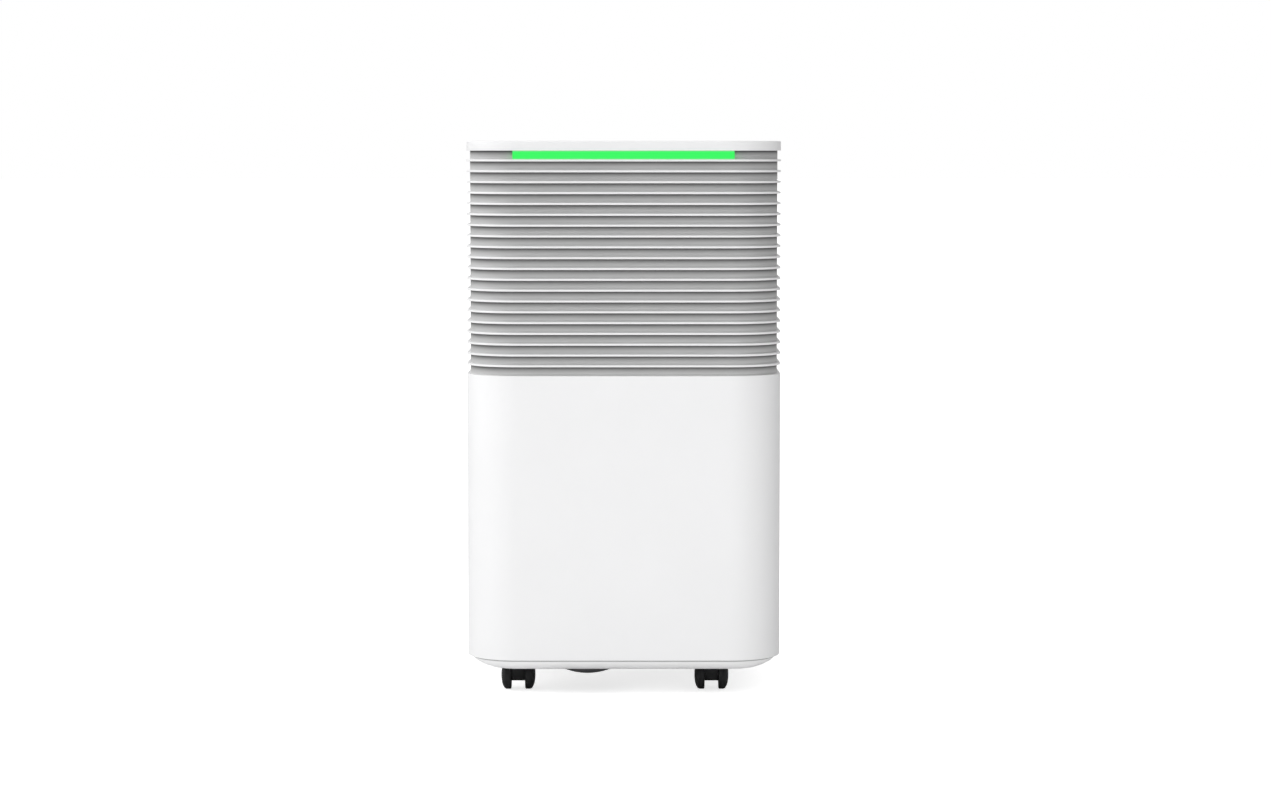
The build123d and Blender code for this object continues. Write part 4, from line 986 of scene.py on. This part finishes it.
def build_display():
    """The plate, its window, and a two-digit number between two small lamps."""
    eased_piece("control_plate", "control_panel", 0.3)
    low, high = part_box("display_lens")
    piece("display_window", bar(low, high, 0.25 * MM, 3), "lens_dark", "display_lens")
    y, level = (low.y + high.y) / 2, high.z
    strokes = digit("fgbc", -6.5 * MM, y, 11 * MM) + digit("afgcd", 6.5 * MM, y, 11 * MM)
    lamps = [arc((x * MM, y), 0.6 * MM, 0, 345, 15) for x in (-22, 22)]
    numbers = [prism(outline, "Z", level - 0.05 * MM, level + 0.08 * MM) for outline in strokes + lamps]
    piece("display_number", merged(numbers), "light_green")


def build_keys():
    """Round keys with a soft crown and a collar under the plate, each with its mark."""
    for name, marks in key_marks().items():
        low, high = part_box(f"button_{name}")
        centre, top = halfway(low, high), high.z
        crown = [(0, top), (4.4 * MM, top), (6.1 * MM, top - 0.05 * MM), (6.7 * MM, top - 0.25 * MM),
                 (7 * MM, top - 0.7 * MM)]
        collar = in_mm((7, 513.6), (8.2, 513.6), (8.2, 512.6), (2, 512.6), (2, low.z / MM), (0, low.z / MM))
        body = f"{name}_key"
        piece(f"key_{name}", spun(crown + collar, (centre.x, centre.y, 0), "Z", 64), "button_white",
              f"button_{name}", body=body)
        strokes = [prism([(centre.x + a * MM, centre.y + b * MM) for a, b in outline], "Z",
                         top - 0.05 * MM, top + 0.04 * MM) for outline in marks]
        piece(f"key_mark_{name}", merged(strokes), "panel_black", body=body, finish=MARK)


# --- water tank ---------------------------------------------------------------------------------
def build_tank():
    """The clear shell with its level marks, the ridged lid, the outer face and the float."""
    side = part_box("tank_body")[1].x / MM - 0.1
    mark = merged([block((s * side - 0.5, 30, 80), (s * side + 0.5, 60, 80.8), 0.2) for s in (-1, 1)])
    marks = grow(ROW, mark, CLEAR, Count=5, Step=(0, 0, 30 * MM))
    eased_piece("tank_shell", "tank_body", 0.4, body="water_tank")
    piece("tank_level_marks", marks, "lid_grey", body="water_tank")
    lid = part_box("tank_lid")[1].z / MM
    ridge = block((-96, 16, lid - 0.3), (96, 18, lid + 0.6), 0.25)
    short = block((-96, 46, lid - 0.3), (-24, 48, lid + 0.6), 0.25)
    ridges = [grow(ROW, ridge, LID, Count=3, Step=(0, 8 * MM, 0)),
              grow(ROW, short, LID, Count=2, Step=(120 * MM, 0, 0))]
    eased_piece("tank_top", "tank_lid", 0.4, body="water_tank")
    piece("tank_top_ridges", merged(ridges), "lid_grey", body="water_tank")
    eased_piece("tank_front", "tank_fascia", 0.5, 3, "water_tank")
    eased_piece("float_block", "float_arm", 0.8, 3, "float")


# --- fan and coils ------------------------------------------------------------------------------
FAN_BLADES, FAN_DEPTH = 40, 38 * MM
FIN_COUNT, FIN_FOLDS, FIN_THICK, FIN_WAVE = 124, 6, 0.30 * MM, 0.35 * MM
END_PLATE, FIN_INSET = 1.6 * MM, 2.2 * MM


def build_fan():
    """A drum of curved blades on a back plate, with a hub, a front ring and the motor's shaft."""
    low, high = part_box("fan_impeller")
    centre = ((low.x + high.x) / 2, 0, (low.z + high.z) / 2)
    r = (high.x - low.x) / 2
    y1, y0 = high.y, high.y - FAN_DEPTH
    plate = spun([(0, y0 + 1.2 * MM), (r - 0.5 * MM, y0 + 1.2 * MM), (r, y0 + 0.8 * MM),
                  (r, y0 + 0.3 * MM), (r - 0.4 * MM, y0), (0, y0)], centre, "Y", 96)
    hub = spun([(0, y0 + 14 * MM), (9 * MM, y0 + 14 * MM), (11 * MM, y0 + 12 * MM),
                (12 * MM, y0 + 0.5 * MM), (0, y0 + 0.5 * MM)], centre, "Y", 48)
    shaft = rod(4 * MM, low.y, y0 + 15 * MM, centre, "Y", 32, 0.4 * MM)
    ring = spun([(r - 12 * MM, y1 - 2 * MM), (r, y1 - 2 * MM), (r, y1), (r - 12 * MM, y1)], centre, "Y", 96)
    upper = [(r - 11.8 * MM + 11.4 * MM * t, 2.6 * MM * math.sin(math.pi * t) + 4.2 * MM * t)
             for t in [k / 8 for k in range(9)]]
    lower = [(x, z - 0.9 * MM) for x, z in reversed(upper)]
    blade = prism(upper + lower, "Y", y0 + 1 * MM, y1 - 1 * MM)
    blades = grow(WHEEL, blade, IMPELLER, Count=FAN_BLADES, Turn=(0, 2 * math.pi / FAN_BLADES, 0),
                  Centre=(0, 0, centre[2]))
    piece("fan_drum", merged([plate, hub, shaft, ring, blades]), "impeller_black", "fan_impeller",
          body="impeller")


def build_fins():
    """Close-set folded plates, between two thicker end plates."""
    for name in ("evaporator", "condenser"):
        low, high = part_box(f"{name}_fins")
        y0, y1, x = low.y + 1 * MM, high.y - 1 * MM, low.x + FIN_INSET
        line = [(y0 + (y1 - y0) * k / FIN_FOLDS, x + (FIN_WAVE if k % 2 else -FIN_WAVE))
                for k in range(FIN_FOLDS + 1)]
        outline = [(x + FIN_THICK / 2, y) for y, x in line]
        outline += [(x - FIN_THICK / 2, y) for y, x in reversed(line)]
        step = (high.x - low.x - 2 * FIN_INSET) / (FIN_COUNT - 1)
        fins = grow(ROW, prism(outline, "Z", low.z, high.z), FIN, Count=FIN_COUNT, Step=(step, 0, 0))
        ends = [bar((x, low.y, low.z), (x + END_PLATE, high.y, high.z), 0.2 * MM)
                for x in (low.x, high.x - END_PLATE)]
        piece(f"{name}_plates", merged([fins, *ends]), "fin_metal", f"{name}_fins")


for build in (build_front_shell, build_groove_wall, build_light, build_housing, build_dish, build_screws,
              build_casters, build_inlet, build_net, build_outlet, build_display, build_keys, build_tank,
              build_fan, build_fins):
    build()
